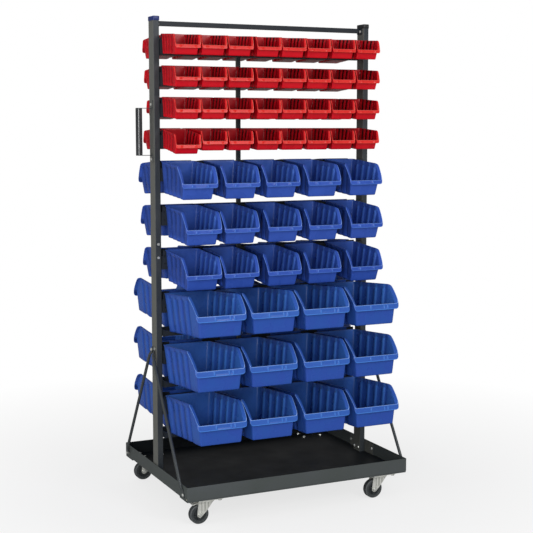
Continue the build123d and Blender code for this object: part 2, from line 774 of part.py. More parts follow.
def make_brake(x, y):
    """Brake lever between the fork's legs: a bent plate on a cross pin, with a wider pedal at its end."""
    brake_cut_y = (brake_pedal_width + brake_width) / 4
    low = brake_pin_z - brake_thickness / 2
    high = brake_pin_z + brake_thickness / 2
    side_view = Plane(origin=(cart_x + x, y, 0), x_dir=(1, 0, 0), z_dir=(0, -1, 0))
    with BuildPart() as brake:
        with BuildSketch(side_view):
            with BuildLine():
                Polyline(
                    (brake_nose - brake_pin_x, high),
                    (-brake_flat_end, high),
                    (-brake_tip, high - brake_tip_drop),
                    (-brake_tip, low - brake_tip_drop),
                    (-brake_flat_end, low),
                    (brake_nose - brake_pin_x, low),
                    close=True,
                )
            make_face()
        extrude(amount=brake_pedal_width / 2, both=True)
        with BuildSketch(level(low - brake_tip_drop)):
            for face in (-1, 1):
                with Locations((x + (brake_nose - brake_pedal_start) / 2, y + face * brake_cut_y)):
                    Rectangle(brake_pedal_start + brake_nose, (brake_pedal_width - brake_width) / 2)
        extrude(amount=brake_tip_drop + 2 * brake_thickness, mode=Mode.SUBTRACT)
        with BuildSketch(side_view):
            with Locations((-brake_pin_x, brake_pin_z)):
                Circle(brake_pin_diameter / 2)
        extrude(amount=leg_half, both=True)
    return brake


def make_hub(x, y):
    """Moulded wheel centre: bored boss, thin web and the rim that carries the tyre."""
    wheel_x = x - caster_trail
    with BuildPart() as hub:
        with BuildSketch(Plane(origin=(cart_x, y + tyre_width / 2, 0), x_dir=(1, 0, 0), z_dir=(0, -1, 0))):
            with Locations((wheel_x, axle_z)):
                Circle(hub_rim_radius)
                Circle(hub_rim_radius - hub_rim_thickness, mode=Mode.SUBTRACT)
        extrude(amount=tyre_width)
        with BuildSketch(Plane(origin=(cart_x, y + hub_web / 2, 0), x_dir=(1, 0, 0), z_dir=(0, -1, 0))):
            with Locations((wheel_x, axle_z)):
                Circle(hub_rim_radius - hub_rim_thickness / 2)
        extrude(amount=hub_web)
        with BuildSketch(Plane(origin=(cart_x, y + hub_length / 2, 0), x_dir=(1, 0, 0), z_dir=(0, -1, 0))):
            with Locations((wheel_x, axle_z)):
                Circle(hub_boss_diameter / 2)
        extrude(amount=hub_length)
        with BuildSketch(Plane(origin=(cart_x, y + hub_length / 2, 0), x_dir=(1, 0, 0), z_dir=(0, -1, 0))):
            with Locations((wheel_x, axle_z)):
                Circle(axle_diameter / 2 + running_clearance)
        extrude(amount=hub_length, mode=Mode.SUBTRACT)
    return hub


def make_tyre(x, y):
    """Rubber tyre with rounded shoulders on the hub's rim."""
    wheel_x = x - caster_trail
    with BuildPart() as tyre:
        with BuildSketch(Plane(origin=(cart_x, y + tyre_width / 2, 0), x_dir=(1, 0, 0), z_dir=(0, -1, 0))):
            with Locations((wheel_x, axle_z)):
                Circle(wheel_diameter / 2)
        extrude(amount=tyre_width)
        fillet(tyre.edges().filter_by(GeomType.CIRCLE), radius=tyre_round)
        with BuildSketch(Plane(origin=(cart_x, y + tyre_width / 2, 0), x_dir=(1, 0, 0), z_dir=(0, -1, 0))):
            with Locations((wheel_x, axle_z)):
                Circle(hub_rim_radius)
        extrude(amount=tyre_width, mode=Mode.SUBTRACT)
    return tyre


def make_axle(x, y):
    """Axle bolt through the fork and the hub, with a head and a nut outside the legs."""
    wheel_x = x - caster_trail
    with BuildPart() as axle:
        with BuildSketch(Plane(origin=(cart_x, y + axle_half, 0), x_dir=(1, 0, 0), z_dir=(0, -1, 0))):
            with Locations((wheel_x, axle_z)):
                Circle(axle_diameter / 2)
        extrude(amount=2 * axle_half)
        for face in (-1, 1):
            with BuildSketch(
                Plane(origin=(cart_x, y + face * axle_half, 0), x_dir=(1, 0, 0), z_dir=(0, -1, 0))
            ):
                with Locations((wheel_x, axle_z)):
                    RegularPolygon(axle_head_width / math.sqrt(3), hexagon_sides)
            extrude(amount=-face * axle_head_height)
    return axle


for name, place in zip(caster_names, caster_places):
    fork = make_fork(*place, place[0] < 0)
    fork.part.label = name + "_fork"
    export_step(fork.part, "parts/" + name + "_fork.step")
    hub = make_hub(*place)
    hub.part.label = name + "_hub"
    export_step(hub.part, "parts/" + name + "_hub.step")
    tyre = make_tyre(*place)
    tyre.part.label = name + "_tyre"
    export_step(tyre.part, "parts/" + name + "_tyre.step")
    axle = make_axle(*place)
    axle.part.label = name + "_axle"
    export_step(axle.part, "parts/" + name + "_axle.step")

# Brakes: the two casters at the handle's end have one
for name, place in zip(caster_names, caster_places):
    if place[0] < 0:
        brake = make_brake(*place)
        brake.part.label = name + "_brake"
        export_step(brake.part, "parts/" + name + "_brake.step")


def make_bin(length, width, height, rim_run, lip_drop, band, front_lean, side_taper, back_taper, wall, tilt):
    """One hopper-front bin, its back-top edge at the origin and its open front towards -Y."""
    body_half = width / 2 - band_ledge
    lip_run = length - band_rake
    lip_fall = lip_drop + band
    curve = [
        (rim_run + run * (lip_run - rim_run), -drop * lip_drop) for run, drop in front_curve_shares
    ]
    front_top = lip_run - band_ledge
    outline = [(0, 0)] + curve[:-1] + [(front_top, -lip_drop)]
    outline += [(front_top, -lip_fall), (front_top - front_lean, -height), (back_taper, -height)]
    hollow = [(wall, overrun)] + [(run, drop + overrun) for run, drop in curve]
    hollow += [(lip_run, -lip_drop), (front_top - wall, -lip_drop), (front_top - wall, -lip_fall)]
    hollow += [(front_top - front_lean - wall, wall - height), (back_taper + wall, wall - height)]
    flange = curve + [(lip_run, -lip_drop - flange_thickness), (front_top, -lip_drop - flange_thickness)]
    flange += [(run - flange_thickness, drop - flange_thickness) for run, drop in reversed(curve[:-1])]
    side_view = Plane(origin=(0, 0, 0), x_dir=(0, -1, 0), z_dir=(-1, 0, 0))
    front_view = Plane(origin=(0, 0, 0), x_dir=(1, 0, 0), z_dir=(0, -1, 0))
    with BuildPart() as shell:
        with BuildSketch(side_view):
            with BuildLine():
                Polyline(*outline, close=True)
            make_face()
        extrude(amount=body_half, both=True)
        with BuildSketch(front_view):
            with BuildLine():
                Polyline(
                    (-body_half, overrun),
                    (body_half, overrun),
                    (body_half, 0),
                    (body_half - side_taper, -height),
                    (side_taper - body_half, -height),
                    (-body_half, 0),
                    close=True,
                )
            make_face()
        extrude(amount=length, mode=Mode.INTERSECT)
        with BuildSketch(side_view):
            with Locations((rim_run / 2, -rim_thickness / 2)):
                Rectangle(rim_run, rim_thickness)
        extrude(amount=body_half + rim_reach, both=True)
        with BuildSketch(side_view):
            with BuildLine():
                Polyline(*flange, close=True)
            make_face()
        extrude(amount=body_half + flange_reach, both=True)
        with BuildSketch(side_view):
            with BuildLine():
                Polyline(
                    (front_top, -lip_drop),
                    (lip_run, -lip_drop),
                    (length, -lip_fall),
                    (front_top, -lip_fall),
                    close=True,
                )
            make_face()
        extrude(amount=width / 2, both=True)
    with BuildPart() as core:
        with BuildSketch(side_view):
            with BuildLine():
                Polyline(*hollow, close=True)
            make_face()
        extrude(amount=body_half, both=True)
        with BuildSketch(front_view):
            with BuildLine():
                Polyline(
                    (wall - body_half, overrun),
                    (body_half - wall, overrun),
                    (body_half - wall, 0),
                    (body_half - wall - side_taper, -height),
                    (side_taper + wall - body_half, -height),
                    (wall - body_half, 0),
                    close=True,
                )
            make_face()
        extrude(amount=length, mode=Mode.INTERSECT)
    reach = rail_thickness + 2 * hook_clearance + hook_thickness
    hook_half = width * hook_width_share / 2
    with BuildPart() as bin_part:
        add(shell.part, rotation=(tilt, 0, 0))
        with BuildSketch(side_view):
            with BuildLine():
                Polyline(
                    (0, 0),
                    (-reach, 0),
                    (-reach, -hook_lift - hook_drop),
                    (hook_thickness - reach, -hook_lift - hook_drop),
                    (hook_thickness - reach, -hook_thickness),
                    (wall / 2, -hook_thickness),
                    (wall / 2, -hook_thickness / 2),
                    close=True,
                )
            make_face()
        extrude(amount=hook_half, both=True)
        add(core.part, rotation=(tilt, 0, 0), mode=Mode.SUBTRACT)
    return bin_part


small_bin = make_bin(
    small_bin_length,
    small_bin_width,
    small_bin_height,
    small_bin_rim_run,
    small_bin_lip_drop,
    small_bin_band,
    small_bin_front_lean,
    small_bin_side_taper,
    small_bin_back_taper,
    small_bin_wall,
    small_bin_tilt,
)
medium_bin = make_bin(
    medium_bin_length,
    medium_bin_width,
    medium_bin_height,
    medium_bin_rim_run,
    medium_bin_lip_drop,
    medium_bin_band,
    medium_bin_front_lean,
    medium_bin_side_taper,
    medium_bin_back_taper,
    medium_bin_wall,
    medium_bin_tilt,
)
large_bin = make_bin(
    large_bin_length,
    large_bin_width,
    large_bin_height,
    large_bin_rim_run,
    large_bin_lip_drop,
    large_bin_band,
    large_bin_front_lean,
    large_bin_side_taper,
    large_bin_back_taper,
    large_bin_wall,
    large_bin_tilt,
)

# Rows of bins, numbered from the top: small, medium, then large
bin_back = rail_front + hook_clearance
rows = []
for n in range(small_row_count):
    rows.append((small_bin, small_rows[n], small_bin_shares[n], small_rear_shifts[n]))
for n in range(medium_row_count):
    rows.append((medium_bin, medium_rows[n], medium_bin_shares[n], medium_rear_shifts[n]))
for n in range(large_row_count):
    rows.append((large_bin, large_rows[n], large_bin_shares[n], large_rear_shifts[n]))
for index, (shape, rim, shares, rear_shift) in enumerate(rows, start=1):
    front_name = "front_bins_row_" + str(index)
    with BuildPart() as front_row:
        for share in shares:
            with Locations(Location((cart_x + share * post_inner, -bin_back, rim))):
                add(shape.part)
    front_row.part.label = front_name
    export_step(front_row.part, "parts/" + front_name + ".step")
    rear_name = "rear_bins_row_" + str(index)
    with BuildPart() as rear_row:
        for share in shares:
            place = (cart_x + rear_shift - share * post_inner, bin_back, rim)
            with Locations(Location(place, (0, 0, half_turn))):
                add(shape.part)
    rear_row.part.label = rear_name
    export_step(rear_row.part, "parts/" + rear_name + ".step")
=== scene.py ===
import math

import bpy
import numpy as np
from bpy.props import FloatProperty, PointerProperty, StringProperty
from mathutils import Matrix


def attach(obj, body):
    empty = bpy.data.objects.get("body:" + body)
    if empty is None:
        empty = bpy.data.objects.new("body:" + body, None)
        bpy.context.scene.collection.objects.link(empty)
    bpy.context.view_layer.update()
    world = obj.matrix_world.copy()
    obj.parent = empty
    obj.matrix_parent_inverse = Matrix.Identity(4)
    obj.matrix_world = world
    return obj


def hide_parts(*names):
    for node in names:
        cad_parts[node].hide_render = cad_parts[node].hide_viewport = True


bl_info = {
    "name": "Mobile bin cart",
    "version": (1, 0, 0),
    "blender": (4, 5, 0),
    "location": "View3D > Sidebar > Bin cart",
    "description": "Builds the finished pieces of a double-sided bin cart on its CAD frame",
    "category": "Object",
}

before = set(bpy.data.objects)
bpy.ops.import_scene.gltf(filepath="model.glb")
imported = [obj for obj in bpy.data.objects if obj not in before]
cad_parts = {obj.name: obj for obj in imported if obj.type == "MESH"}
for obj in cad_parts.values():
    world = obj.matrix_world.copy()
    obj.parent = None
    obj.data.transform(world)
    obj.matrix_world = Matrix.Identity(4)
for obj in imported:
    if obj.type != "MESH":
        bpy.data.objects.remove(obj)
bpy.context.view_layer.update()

# All tables below are in millimetres, as in the CAD source; +Z is up and -Y is the front.
MM = 0.001
MIDDLE_X = 22.35
POST_OUTER = 470.0
POST_INNER = 446.0
POST_MIDDLE = 458.0
BIN_BACK = 36.3
TRAY_TOP = 155.0
TRAY_BOTTOM = 102.0
TRAY_HALF_X = 475.0
TRAY_HALF_Y = 358.5

# The three kinds of bin. The side's edge is level up to rim_run and then drops by lip_drop to the front
# lip, whose height is band. groove is a share of the flutes' pitch, and holder gives shares of the width.
# corner counts steps. The last six numbers are values of the zone attribute that paint light and shade into the
# colour:
# painted light on the lip's face and sloping rims, painted shade in the hollows inside, the inner and the outer
# walls painted lighter or darker by kind, painted highlight lines on rim and lip, and painted glints on the rim's
# edges.
BIN_KINDS = {
    "small": {
        "length": 161.0, "width": 106.0, "height": 75.0, "rim_run": 138.0, "lip_drop": 37.5,
        "band": 12.0, "band_round": 9.0, "front_lean": 12.0, "side_taper": 4.0, "back_taper": 7.0,
        "wall": 1.8, "tilt": 4.0, "back_radius": 5.0, "front_radius": 3.0, "out_radius": 4.0,
        "ledge": 4.5, "flutes": 4, "first": 15.5, "pitch": 31.0, "groove": 0.46, "flute_depth": 2.9,
        "flute_top": 8.0, "bead": 127.0, "foot": 3.0, "corner": 4, "holder": (0.2, 0.8),
        "band_painted_light": 0.26, "shade": 0.65, "inner": -0.3, "outer": -0.2, "crest_highlight": 0.5, "pale": 0.22,
    },
    "medium": {
        "length": 242.0, "width": 153.0, "height": 124.0, "rim_run": 184.0, "lip_drop": 62.0,
        "band": 15.5, "band_round": 13.0, "front_lean": 17.0, "side_taper": 9.0, "back_taper": 11.0,
        "wall": 2.2, "tilt": 4.2, "back_radius": 8.0, "front_radius": 5.0, "out_radius": 5.5,
        "ledge": 9.0, "flutes": 4, "first": 50.0, "pitch": 48.0, "groove": 0.23, "flute_depth": 4.5,
        "flute_top": 13.0, "bead": 0.0, "foot": 4.5, "corner": 5, "holder": (0.29, 0.71),
        "band_painted_light": 0.0, "shade": 0.25, "inner": 0.2, "outer": -0.25, "crest_highlight": 0.4, "pale": 0.18,
    },
    "large": {
        "length": 348.0, "width": 212.0, "height": 152.0, "rim_run": 266.0, "lip_drop": 72.0,
        "band": 22.0, "band_round": 16.0, "front_lean": 12.0, "side_taper": 14.0, "back_taper": 5.0,
        "wall": 2.6, "tilt": -4.4, "back_radius": 12.0, "front_radius": 7.0, "out_radius": 7.0,
        "ledge": 9.0, "flutes": 4, "first": 61.0, "pitch": 62.0, "groove": 0.22, "flute_depth": 5.0,
        "flute_top": 13.0, "bead": 0.0, "foot": 4.5, "corner": 6, "holder": (0.37, 0.667, 0.745),
        "band_painted_light": 0.16, "shade": 0.25, "inner": 0.35, "outer": 0.1, "crest_highlight": 0.5, "pale": 0.35,
    },
}
# How far the lip stands out in front and leans back, how far the rim stands out at the back, the height of
# the side's skirt and of the lip at its corners, and the hook behind the rim
BAND_LEDGE = 7.5
BAND_RAKE = 3.5
BACK_REACH = 2.6
SIDE_SKIRT = 3.4
LIP_CORNER = 4.6
HOOK_WIDTH_SHARE = 0.66
HOOK_REACH = 5.1
HOOK_DROP = 11.8
HOOK_THICKNESS = 2.5

# Rim height, kind, places along the rail as shares, and the rear row's push, for each row from the top
SMALL_SHARES = (-0.880, -0.640, -0.395, -0.130, 0.110, 0.355, 0.600, 0.847)
ROWS = (
    (1838.5, "small", SMALL_SHARES, -9.4),
    (1719.5, "small", SMALL_SHARES, -4.0),
    (1600.5, "small", SMALL_SHARES, 4.5),
    (1481.5, "small", SMALL_SHARES, -9.4),
    (1355.5, "medium", (-0.850, -0.461, -0.081, 0.319, 0.733), -34.8),
    (1184.5, "medium", (-0.816, -0.467, -0.063, 0.330, 0.745), -22.2),
    (1013.5, "medium", (-0.818, -0.470, -0.066, 0.327, 0.750), -12.6),
    (843.0, "large", (-0.771, -0.281, 0.208, 0.700), -9.6),
    (640.0, "large", (-0.783, -0.294, 0.213, 0.704), -10.6),
    (437.0, "large", (-0.768, -0.293, 0.216, 0.7146), -6.3),
)
CASTERS = {
    "left_front": (-378.0, -316.0),
    "left_rear": (-378.0, 316.0),
    "right_front": (378.0, -316.0),
    "right_rear": (378.0, 316.0),
}
TRAIL = 36.0
AXLE_Z = 37.5
FORK_EYE = 11.0
LEG_RIBS = (-22.2, -8.4, 4.6)
BRAKE_Z = 82.0

# Width across flats and height, and how far below the rims the bolts of rails and bearers sit
FRAME_BOLT = (10.0, 4.0)
CASTER_BOLT = (13.0, 5.0)
CASTER_NUT = (13.0, 6.0)
RAIL_BOLT_DROP = 46.8
BEARER_BOLT_DROP = 157.0
# The braces' upper and lower bolts, the bar's radius, and its half thickness and half width where pressed flat
BRACE_TOP_Z = 618.0
BRACE_FOOT_Y = 323.0
BRACE_FOOT_Z = 120.0
BRACE_RADIUS = 6.0
BRACE_END = (1.5, 8.5)
# How far each level of a cap is drawn in, and its height
CAP_LEVELS = ((1.5, 1889.0), (0.3, 1889.0), (0.0, 1889.6), (0.0, 1902.5),
              (0.35, 1904.0), (1.2, 1905.0), (3.0, 1905.5))

# Turned parts of the casters, as (radius, distance along the axis) pairs. The hub and the tyre are one half,
# which is mirrored. The list after TYRE_SIDE goes with it: how far each line of the tyre is greyed, as rubbing and
# as a painted highlight on the shoulders.
RACE = [(24.0, 94.6), (25.0, 94.0), (25.0, 92.2), (24.2, 91.1), (18.0, 91.0), (6.0, 91.0),
        (6.0, 87.3), (10.0, 87.3), (10.0, 85.4), (9.0, 84.9), (3.0, 84.9)]
CROWN = [(6.05, 90.7), (22.0, 90.7), (25.2, 90.3), (26.7, 89.0), (27.0, 87.0), (26.8, 85.2),
         (25.6, 84.6), (24.6, 85.2), (24.4, 86.6), (23.4, 87.6), (20.0, 87.7), (6.05, 87.7)]
AXLE_NUT = [(6.2, 0), (6.5, 0.15), (6.5, 3.4), (6.0, 4.4), (4.6, 5.0)]
AXLE_END = [(3.9, 0), (3.9, 5.6), (3.2, 6.2), (1.0, 6.2)]
HUB_HALF = [(4.05, 14.0), (11.6, 14.0), (12.6, 13.4), (13.0, 12.0), (13.6, 5.6), (14.6, 4.8),
            (20.6, 4.6), (21.8, 5.4), (22.5, 11.6), (23.2, 12.2), (26.5, 12.2)]
TYRE_SIDE = [(26.5, 11.6), (27.1, 12.3), (29.3, 12.5), (29.9, 11.6), (30.9, 11.6), (31.5, 12.5),
             (33.6, 12.5), (34.9, 12.3), (36.3, 11.5), (37.1, 10.3), (37.5, 8.9), (37.5, 3.0)]
TYRE_WEAR_AND_HIGHLIGHT = [0, 0.25, 0.1, 0, 0, 0.35, 0.1, 0.3, 0.5, 0.35, 0.12, 0.08]


# ---- surfaces ----
def skin(points, close_rows=False):
    """Quads between neighbouring rows of a grid whose columns run round and meet. Each open end is
    closed with a fan of triangles on the middle of its row, or the last row is joined to the first."""
    rows, columns = points.shape[:2]
    vertices = points.reshape(-1, 3)
    row = np.arange(rows if close_rows else rows - 1)[:, None]
    column = np.arange(columns)
    after_row, after_column = (row + 1) % rows, (column + 1) % columns
    quads = np.stack(
        [row * columns + column, row * columns + after_column,
         after_row * columns + after_column, after_row * columns + column], axis=-1
    ).reshape(-1, 4)
    triangles = np.zeros((0, 3), int)
    if not close_rows:
        first, last = np.full(columns, len(vertices)), np.full(columns, len(vertices) + 1)
        end = (rows - 1) * columns
        vertices = np.vstack([vertices, points[[0, -1]].mean(axis=1)])
        triangles = np.vstack([np.stack([first, after_column, column], axis=-1),
                               np.stack([last, end + column, end + after_column], axis=-1)])
    return facing_out((vertices, quads, triangles))


def facing_out(shell):
    """Turns every face round where the shell's signed volume is negative: the sum over its triangles
    of a . (b x c), with the corners measured from the shell's middle."""
    vertices, quads, triangles = shell
    halves = np.vstack([quads[:, [0, 1, 2]], quads[:, [0, 2, 3]], triangles])
    corners = vertices[halves] - vertices.mean(axis=0)
    volume = np.einsum("ij,ij->i", corners[:, 0], np.cross(corners[:, 1], corners[:, 2])).sum()
    if volume < 0:
        return vertices, quads[:, ::-1], triangles[:, ::-1]
    return shell


def joined(shells):
    """One shell from several, with each one's corner numbers moved past those before it."""
    starts = np.cumsum([0] + [len(s[0]) for s in shells[:-1]])
    return (
        np.vstack([s[0] for s in shells]),
        np.vstack([s[1] + n for s, n in zip(shells, starts)]),
        np.vstack([s[2] + n for s, n in zip(shells, starts)]),
    )


def repeated(shell, places):
    """The shell once at each place: every vertex plus every place, as one array."""
    vertices, quads, triangles = shell
    places = np.asarray(places, float)
    shift = np.arange(len(places))[:, None, None] * len(vertices)
    return (
        (vertices[None] + places[:, None]).reshape(-1, 3),
        (quads[None] + shift).reshape(-1, 4),
        (triangles[None] + shift).reshape(-1, 3),
    )


def half_turned(shell):
    """The shell turned half round about the upright axis: x and y change sign."""
    vertices, quads, triangles = shell
    return vertices * (-1, -1, 1), quads, triangles


def lathe(outline, centre, axis, steps=48, hexagon=False, close_rows=False):
    """Turns an outline of (radius, distance along the axis) pairs about an axis; for a hexagon the
    radius is also divided by the cosine of the angle from the middle of the nearest flat."""
    outline = np.asarray(outline, float)
    axis = np.asarray(axis, float)
    side = np.array((0, 0, 1.0)) if abs(axis[2]) < 0.5 else np.array((1.0, 0, 0))
    other = np.cross(axis, side)
    angle = np.arange(steps) * 2 * math.pi / steps
    swell = np.ones_like(angle)
    if hexagon:
        swell = 1 / np.cos((angle + math.pi / 6) % (math.pi / 3) - math.pi / 6)
    ring = (np.cos(angle)[:, None] * side + np.sin(angle)[:, None] * other) * swell[:, None]
    points = np.asarray(centre, float) + outline[:, None, :1] * ring + outline[:, None, 1:] * axis
    return skin(points, close_rows=close_rows)


def sweep(path, across, profile):
    """Carries a closed profile along a path. The profile's first number is measured along `across`
    and its second along the path's normal, which is the tangent crossed with `across`."""
    path = np.asarray(path, float)
    profile = np.asarray(profile, float)
    if profile.ndim == 2:
        profile = np.broadcast_to(profile, (len(path),) + profile.shape)
    tangent = np.gradient(path, axis=0)
    normal = np.cross(tangent, across)
    normal /= np.linalg.norm(normal, axis=1)[:, None]
    across = np.asarray(across, float)
    return skin(path[:, None] + profile[..., :1] * across + profile[..., 1:] * normal[:, None])


def rounded_rectangle(half_u, half_v, radius, per_corner=5):
    """Points round a rectangle with circular corners, anticlockwise from the middle of its right side."""
    angle = np.linspace(0, math.pi / 2, per_corner)
    corner = np.stack([np.cos(angle), np.sin(angle)], axis=-1) * radius
    inner = np.array((half_u - radius, half_v - radius))
    quarters = [corner + inner, corner[::-1] * (-1, 1) + inner * (-1, 1),
                corner * (-1, -1) - inner, corner[::-1] * (1, -1) + inner * (1, -1)]
    return np.vstack(quarters)


def level_ring(half_x, half_y, radius, z, per_corner=5):
    """A rounded rectangle's points, all at one height."""
    outline = rounded_rectangle(half_x, half_y, radius, per_corner)
    return np.column_stack([outline, np.full(len(outline), z)])


def slab(half_x, half_y, radius, bottom, top, centre, bevel=0.6):
    """A plate with rounded corners: its outline is drawn in by a quarter circle at both faces, which is
    bevel (1 - cos t) inwards and bevel (1 - sin t) towards the plate's middle."""
    angle = np.linspace(math.pi / 2, 0, 3)
    inset, rise = bevel * (1 - np.cos(angle)), bevel * (1 - np.sin(angle))
    insets = np.concatenate([inset, inset[::-1]])
    heights = np.concatenate([bottom + rise, top - rise[::-1]])
    grid = [level_ring(half_x - i, half_y - i, max(radius - i, 0.05), z) for i, z in zip(insets, heights)]
    return skin(np.array(grid) + (centre[0], centre[1], 0))


def arc(centre, radius, start, end, steps):
    """Points on a circle between two angles in degrees."""
    angle = np.radians(np.linspace(start, end, steps))
    return np.stack([centre[0] + radius * np.cos(angle), centre[1] + radius * np.sin(angle)], axis=-1)


def smooth(value):
    """Runs from 0 to 1 with level ends: 3 t squared less 2 t cubed, with t held between 0 and 1."""
    held = np.clip(value, 0, 1)
    return held * held * (3 - 2 * held)


def piece(name, shell, material, body, nodes=(), zones=None, sharp=38.0):
    """Puts a shell, given in millimetres, into a mesh in metres and hangs it on its body."""
    vertices, quads, triangles = shell
    mesh = bpy.data.meshes.new(name)
    mesh.vertices.add(len(vertices))
    mesh.vertices.foreach_set("co", (vertices * MM).astype(np.float32).ravel())
    corners = np.concatenate([quads.ravel(), triangles.ravel()]).astype(np.int32)
    mesh.loops.add(len(corners))
    mesh.loops.foreach_set("vertex_index", corners)
    starts = np.concatenate([np.arange(len(quads)) * 4, len(quads) * 4 + np.arange(len(triangles)) * 3])
    mesh.polygons.add(len(starts))
    mesh.polygons.foreach_set("loop_start", starts.astype(np.int32))
    mesh.update(calc_edges=True)
    mesh.validate()
    mesh.polygons.foreach_set("use_smooth", np.ones(len(mesh.polygons), bool))
    mesh.set_sharp_from_angle(angle=math.radians(sharp))
    if zones is not None:
        mesh.attributes.new("zone", "FLOAT", "POINT").data.foreach_set("value", zones.astype(np.float32))
    mesh.materials.append(material)
    thing = bpy.data.objects.new(name, mesh)
    bpy.context.scene.collection.objects.link(thing)
    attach(thing, body)
    if nodes:
        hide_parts(*nodes)


# ---- materials ----
# A colour mix takes its share at input 0 and its colours at 6 and 7, and gives its result at output 2
BLEND = {"data_type": "RGBA"}
# What a layer's share is worked out from: the zone attribute times the first number, plus the second
ZONE_SHARES = {"zone": (1.0, 0.0), "below 0": (-1.0, 0.0), "above 1": (1.0, -1.0)}
WHITE = (1.0, 1.0, 1.0, 1.0)
# Pale grey of the painted glint on the bins' rim edges, and black of the painted shade in their hollows
GLINT_PALE = (0.9, 0.9, 0.9, 1.0)
SHADE_BLACK = (0.0, 0.0, 0.0, 1.0)


def linear(code):
    """sRGB hex code to a linear colour with alpha: each channel by the sRGB curve."""
    value = np.array([int(code[i:i + 2], 16) / 255 for i in (1, 3, 5)])
    curve = np.where(value <= 0.04045, value / 12.92, ((value + 0.055) / 1.055) ** 2.4)
    return tuple(curve) + (1.0,)


def add_node(tree, kind, settings=None, inputs=None):
    """Adds a node, sets its properties, and sets each input or links it to a (node, output) pair."""
    made = tree.nodes.new("ShaderNode" + kind)
    for key, value in (settings or {}).items():
        setattr(made, key, value)
    for key, value in (inputs or {}).items():
        if isinstance(value, tuple) and isinstance(value[0], bpy.types.Node):
            tree.links.new(value[0].outputs[value[1]], made.inputs[key])
        else:
            made.inputs[key].default_value = value
    return made


def blank_material(name):
    """A new material without nodes, and its tree."""
    material = bpy.data.materials.new(name)
    material.use_nodes = True
    material.node_tree.nodes.clear()
    return material, material.node_tree


def surface_material(name, tones, cloud, spread, layers, grain, bump, rough, shader):
    """Makes a material whose colour runs between two tones with a cloud of noise on the piece's own
    coordinates. Each layer lays one more colour over it, by a share of the zone attribute or by how
    far a face looks towards -X. The grain is a finer noise that raises the surface a little. The
    roughness is one number, or follows the cloud between two. Noises are (scale, detail) pairs."""
    tree = blank_material(name)[1]
    place = add_node(tree, "TexCoord")
    clouds, grains = [
        add_node(tree, "TexNoise", None, {"Scale": scale, "Detail": detail, "Vector": (place, "Object")})
        for scale, detail in (cloud, grain)
    ]
    share = add_node(tree, "MapRange", None,
                     {"Value": (clouds, "Fac"), "From Min": spread[0], "From Max": spread[1]})
    colour = add_node(tree, "Mix", BLEND, {0: (share, "Result"), 6: linear(tones[0]), 7: linear(tones[1])})
    for kind, tone in layers:
        if kind == "towards -X":
            facing = add_node(tree, "VectorMath", {"operation": "DOT_PRODUCT"},
                              {0: (place, "Normal"), 1: (-1.0, 0.0, 0.0)})
            share = add_node(tree, "MapRange", None,
                             {"Value": (facing, "Value"), "From Min": 0.5, "From Max": 0.9})
        else:
            zone = add_node(tree, "Attribute", {"attribute_name": "zone"})
            factor, offset = ZONE_SHARES[kind]
            share = add_node(tree, "Math", {"operation": "MULTIPLY_ADD", "use_clamp": True},
                             {0: (zone, "Fac"), 1: factor, 2: offset})
        colour = add_node(tree, "Mix", BLEND, {0: (share, 0), 6: (colour, 2), 7: tone})
    raised = add_node(tree, "Bump", None, {"Strength": bump[0], "Distance": bump[1], "Height": (grains, "Fac")})
    if isinstance(rough, tuple):
        haze = add_node(tree, "MapRange", None, {"Value": (clouds, "Fac"), "From Min": 0.3, "From Max": 0.7,
                                                 "To Min": rough[0], "To Max": rough[1]})
        rough = (haze, "Result")
    surface = add_node(tree, "BsdfPrincipled", None,
                       {**shader, "Base Color": (colour, 2), "Roughness": rough, "Normal": (raised, "Normal")})
    add_node(tree, "OutputMaterial", None, {"Surface": (surface, "BSDF")})


def moulded_polypropylene(name, body, light, dark):
    """Injection-moulded polypropylene: even colour with soft gloss, painted light and painted highlights on the
    rim and lip, painted shade in hollows, and the fine grain of an eroded mould."""
    # Flow marks are some 60 mm across. A zone between 0 and 1 mixes in the highlight colour as painted light, a
    # zone below 0 is painted shade towards black and one above 1 a painted glint towards pale grey. The mould's
    # grain of about 0.5 mm is drawn 1.2 mm wide so that it shows.
    surface_material(
        name, (dark, body), (16.0, 2.0), (0.3, 0.7),
        (("zone", linear(light)), ("below 0", SHADE_BLACK), ("above 1", GLINT_PALE)),
        (830.0, 2.0), (0.06, 0.0004), (0.24, 0.32), {"IOR": 1.49, "Specular IOR Level": 0.25})


def powder_coated_steel(name, body, worn, side=None, inside=None, roughness=0.42, gloss=0.25, orange=0.12):
    """Powder-coated sheet steel: satin, with the slight orange peel of the fused powder and a dusty
    bloom; where the piece's zone is 1, the coat is the darker colour given for the inside, as painted shade, and a
    face that looks towards -X is paler, as painted light."""
    # The orange peel has waves of about 1.6 mm
    surface_material(
        name, (body, worn), (9.0, 4.0), (0.35, 0.75),
        (("zone", linear(inside or body)), ("towards -X", linear(side or body))),
        (620.0, 1.0), (orange, 0.0005), (roughness - 0.04, roughness + 0.06),
        {"IOR": 1.5, "Specular IOR Level": gloss})


def zinc_plated_steel(name, bright, dull, crease, roughness=0.34):
    """Zinc-plated pressed steel: pale grey metal, cloudy with passivation, with painted shade in the pressed
    creases, where the zone is 1."""
    # The plated grain of about 0.3 mm is drawn 1 mm wide
    surface_material(
        name, (dull, bright), (70.0, 5.0), (0.0, 1.0), (("zone", linear(crease)),),
        (1000.0, 1.0), (0.08, 0.0003), (roughness - 0.06, roughness + 0.10), {"Metallic": 0.5})


def solid_rubber(name, body, dusty, worn):
    """Moulded solid rubber: near-black and dull, greyed with dust where it has rolled, and with its lines greyed
    as rubbing and as painted highlight.
    """
    surface_material(
        name, (body, dusty), (120.0, 5.0), (0.45, 0.75), (("zone", linear(worn)),),
        (120.0, 5.0), (0.2, 0.0004), 0.55, {"IOR": 1.52})


def moulded_plain(name, body, dark, roughness=0.42):
    """Moulded polyethylene or polyamide: plain dark plastic with a faint mottle and mould grain."""
    surface_material(
        name, (dark, body), (90.0, 3.0), (0.0, 1.0), (), (900.0, 2.0), (0.1, 0.0004), roughness, {"IOR": 1.5})


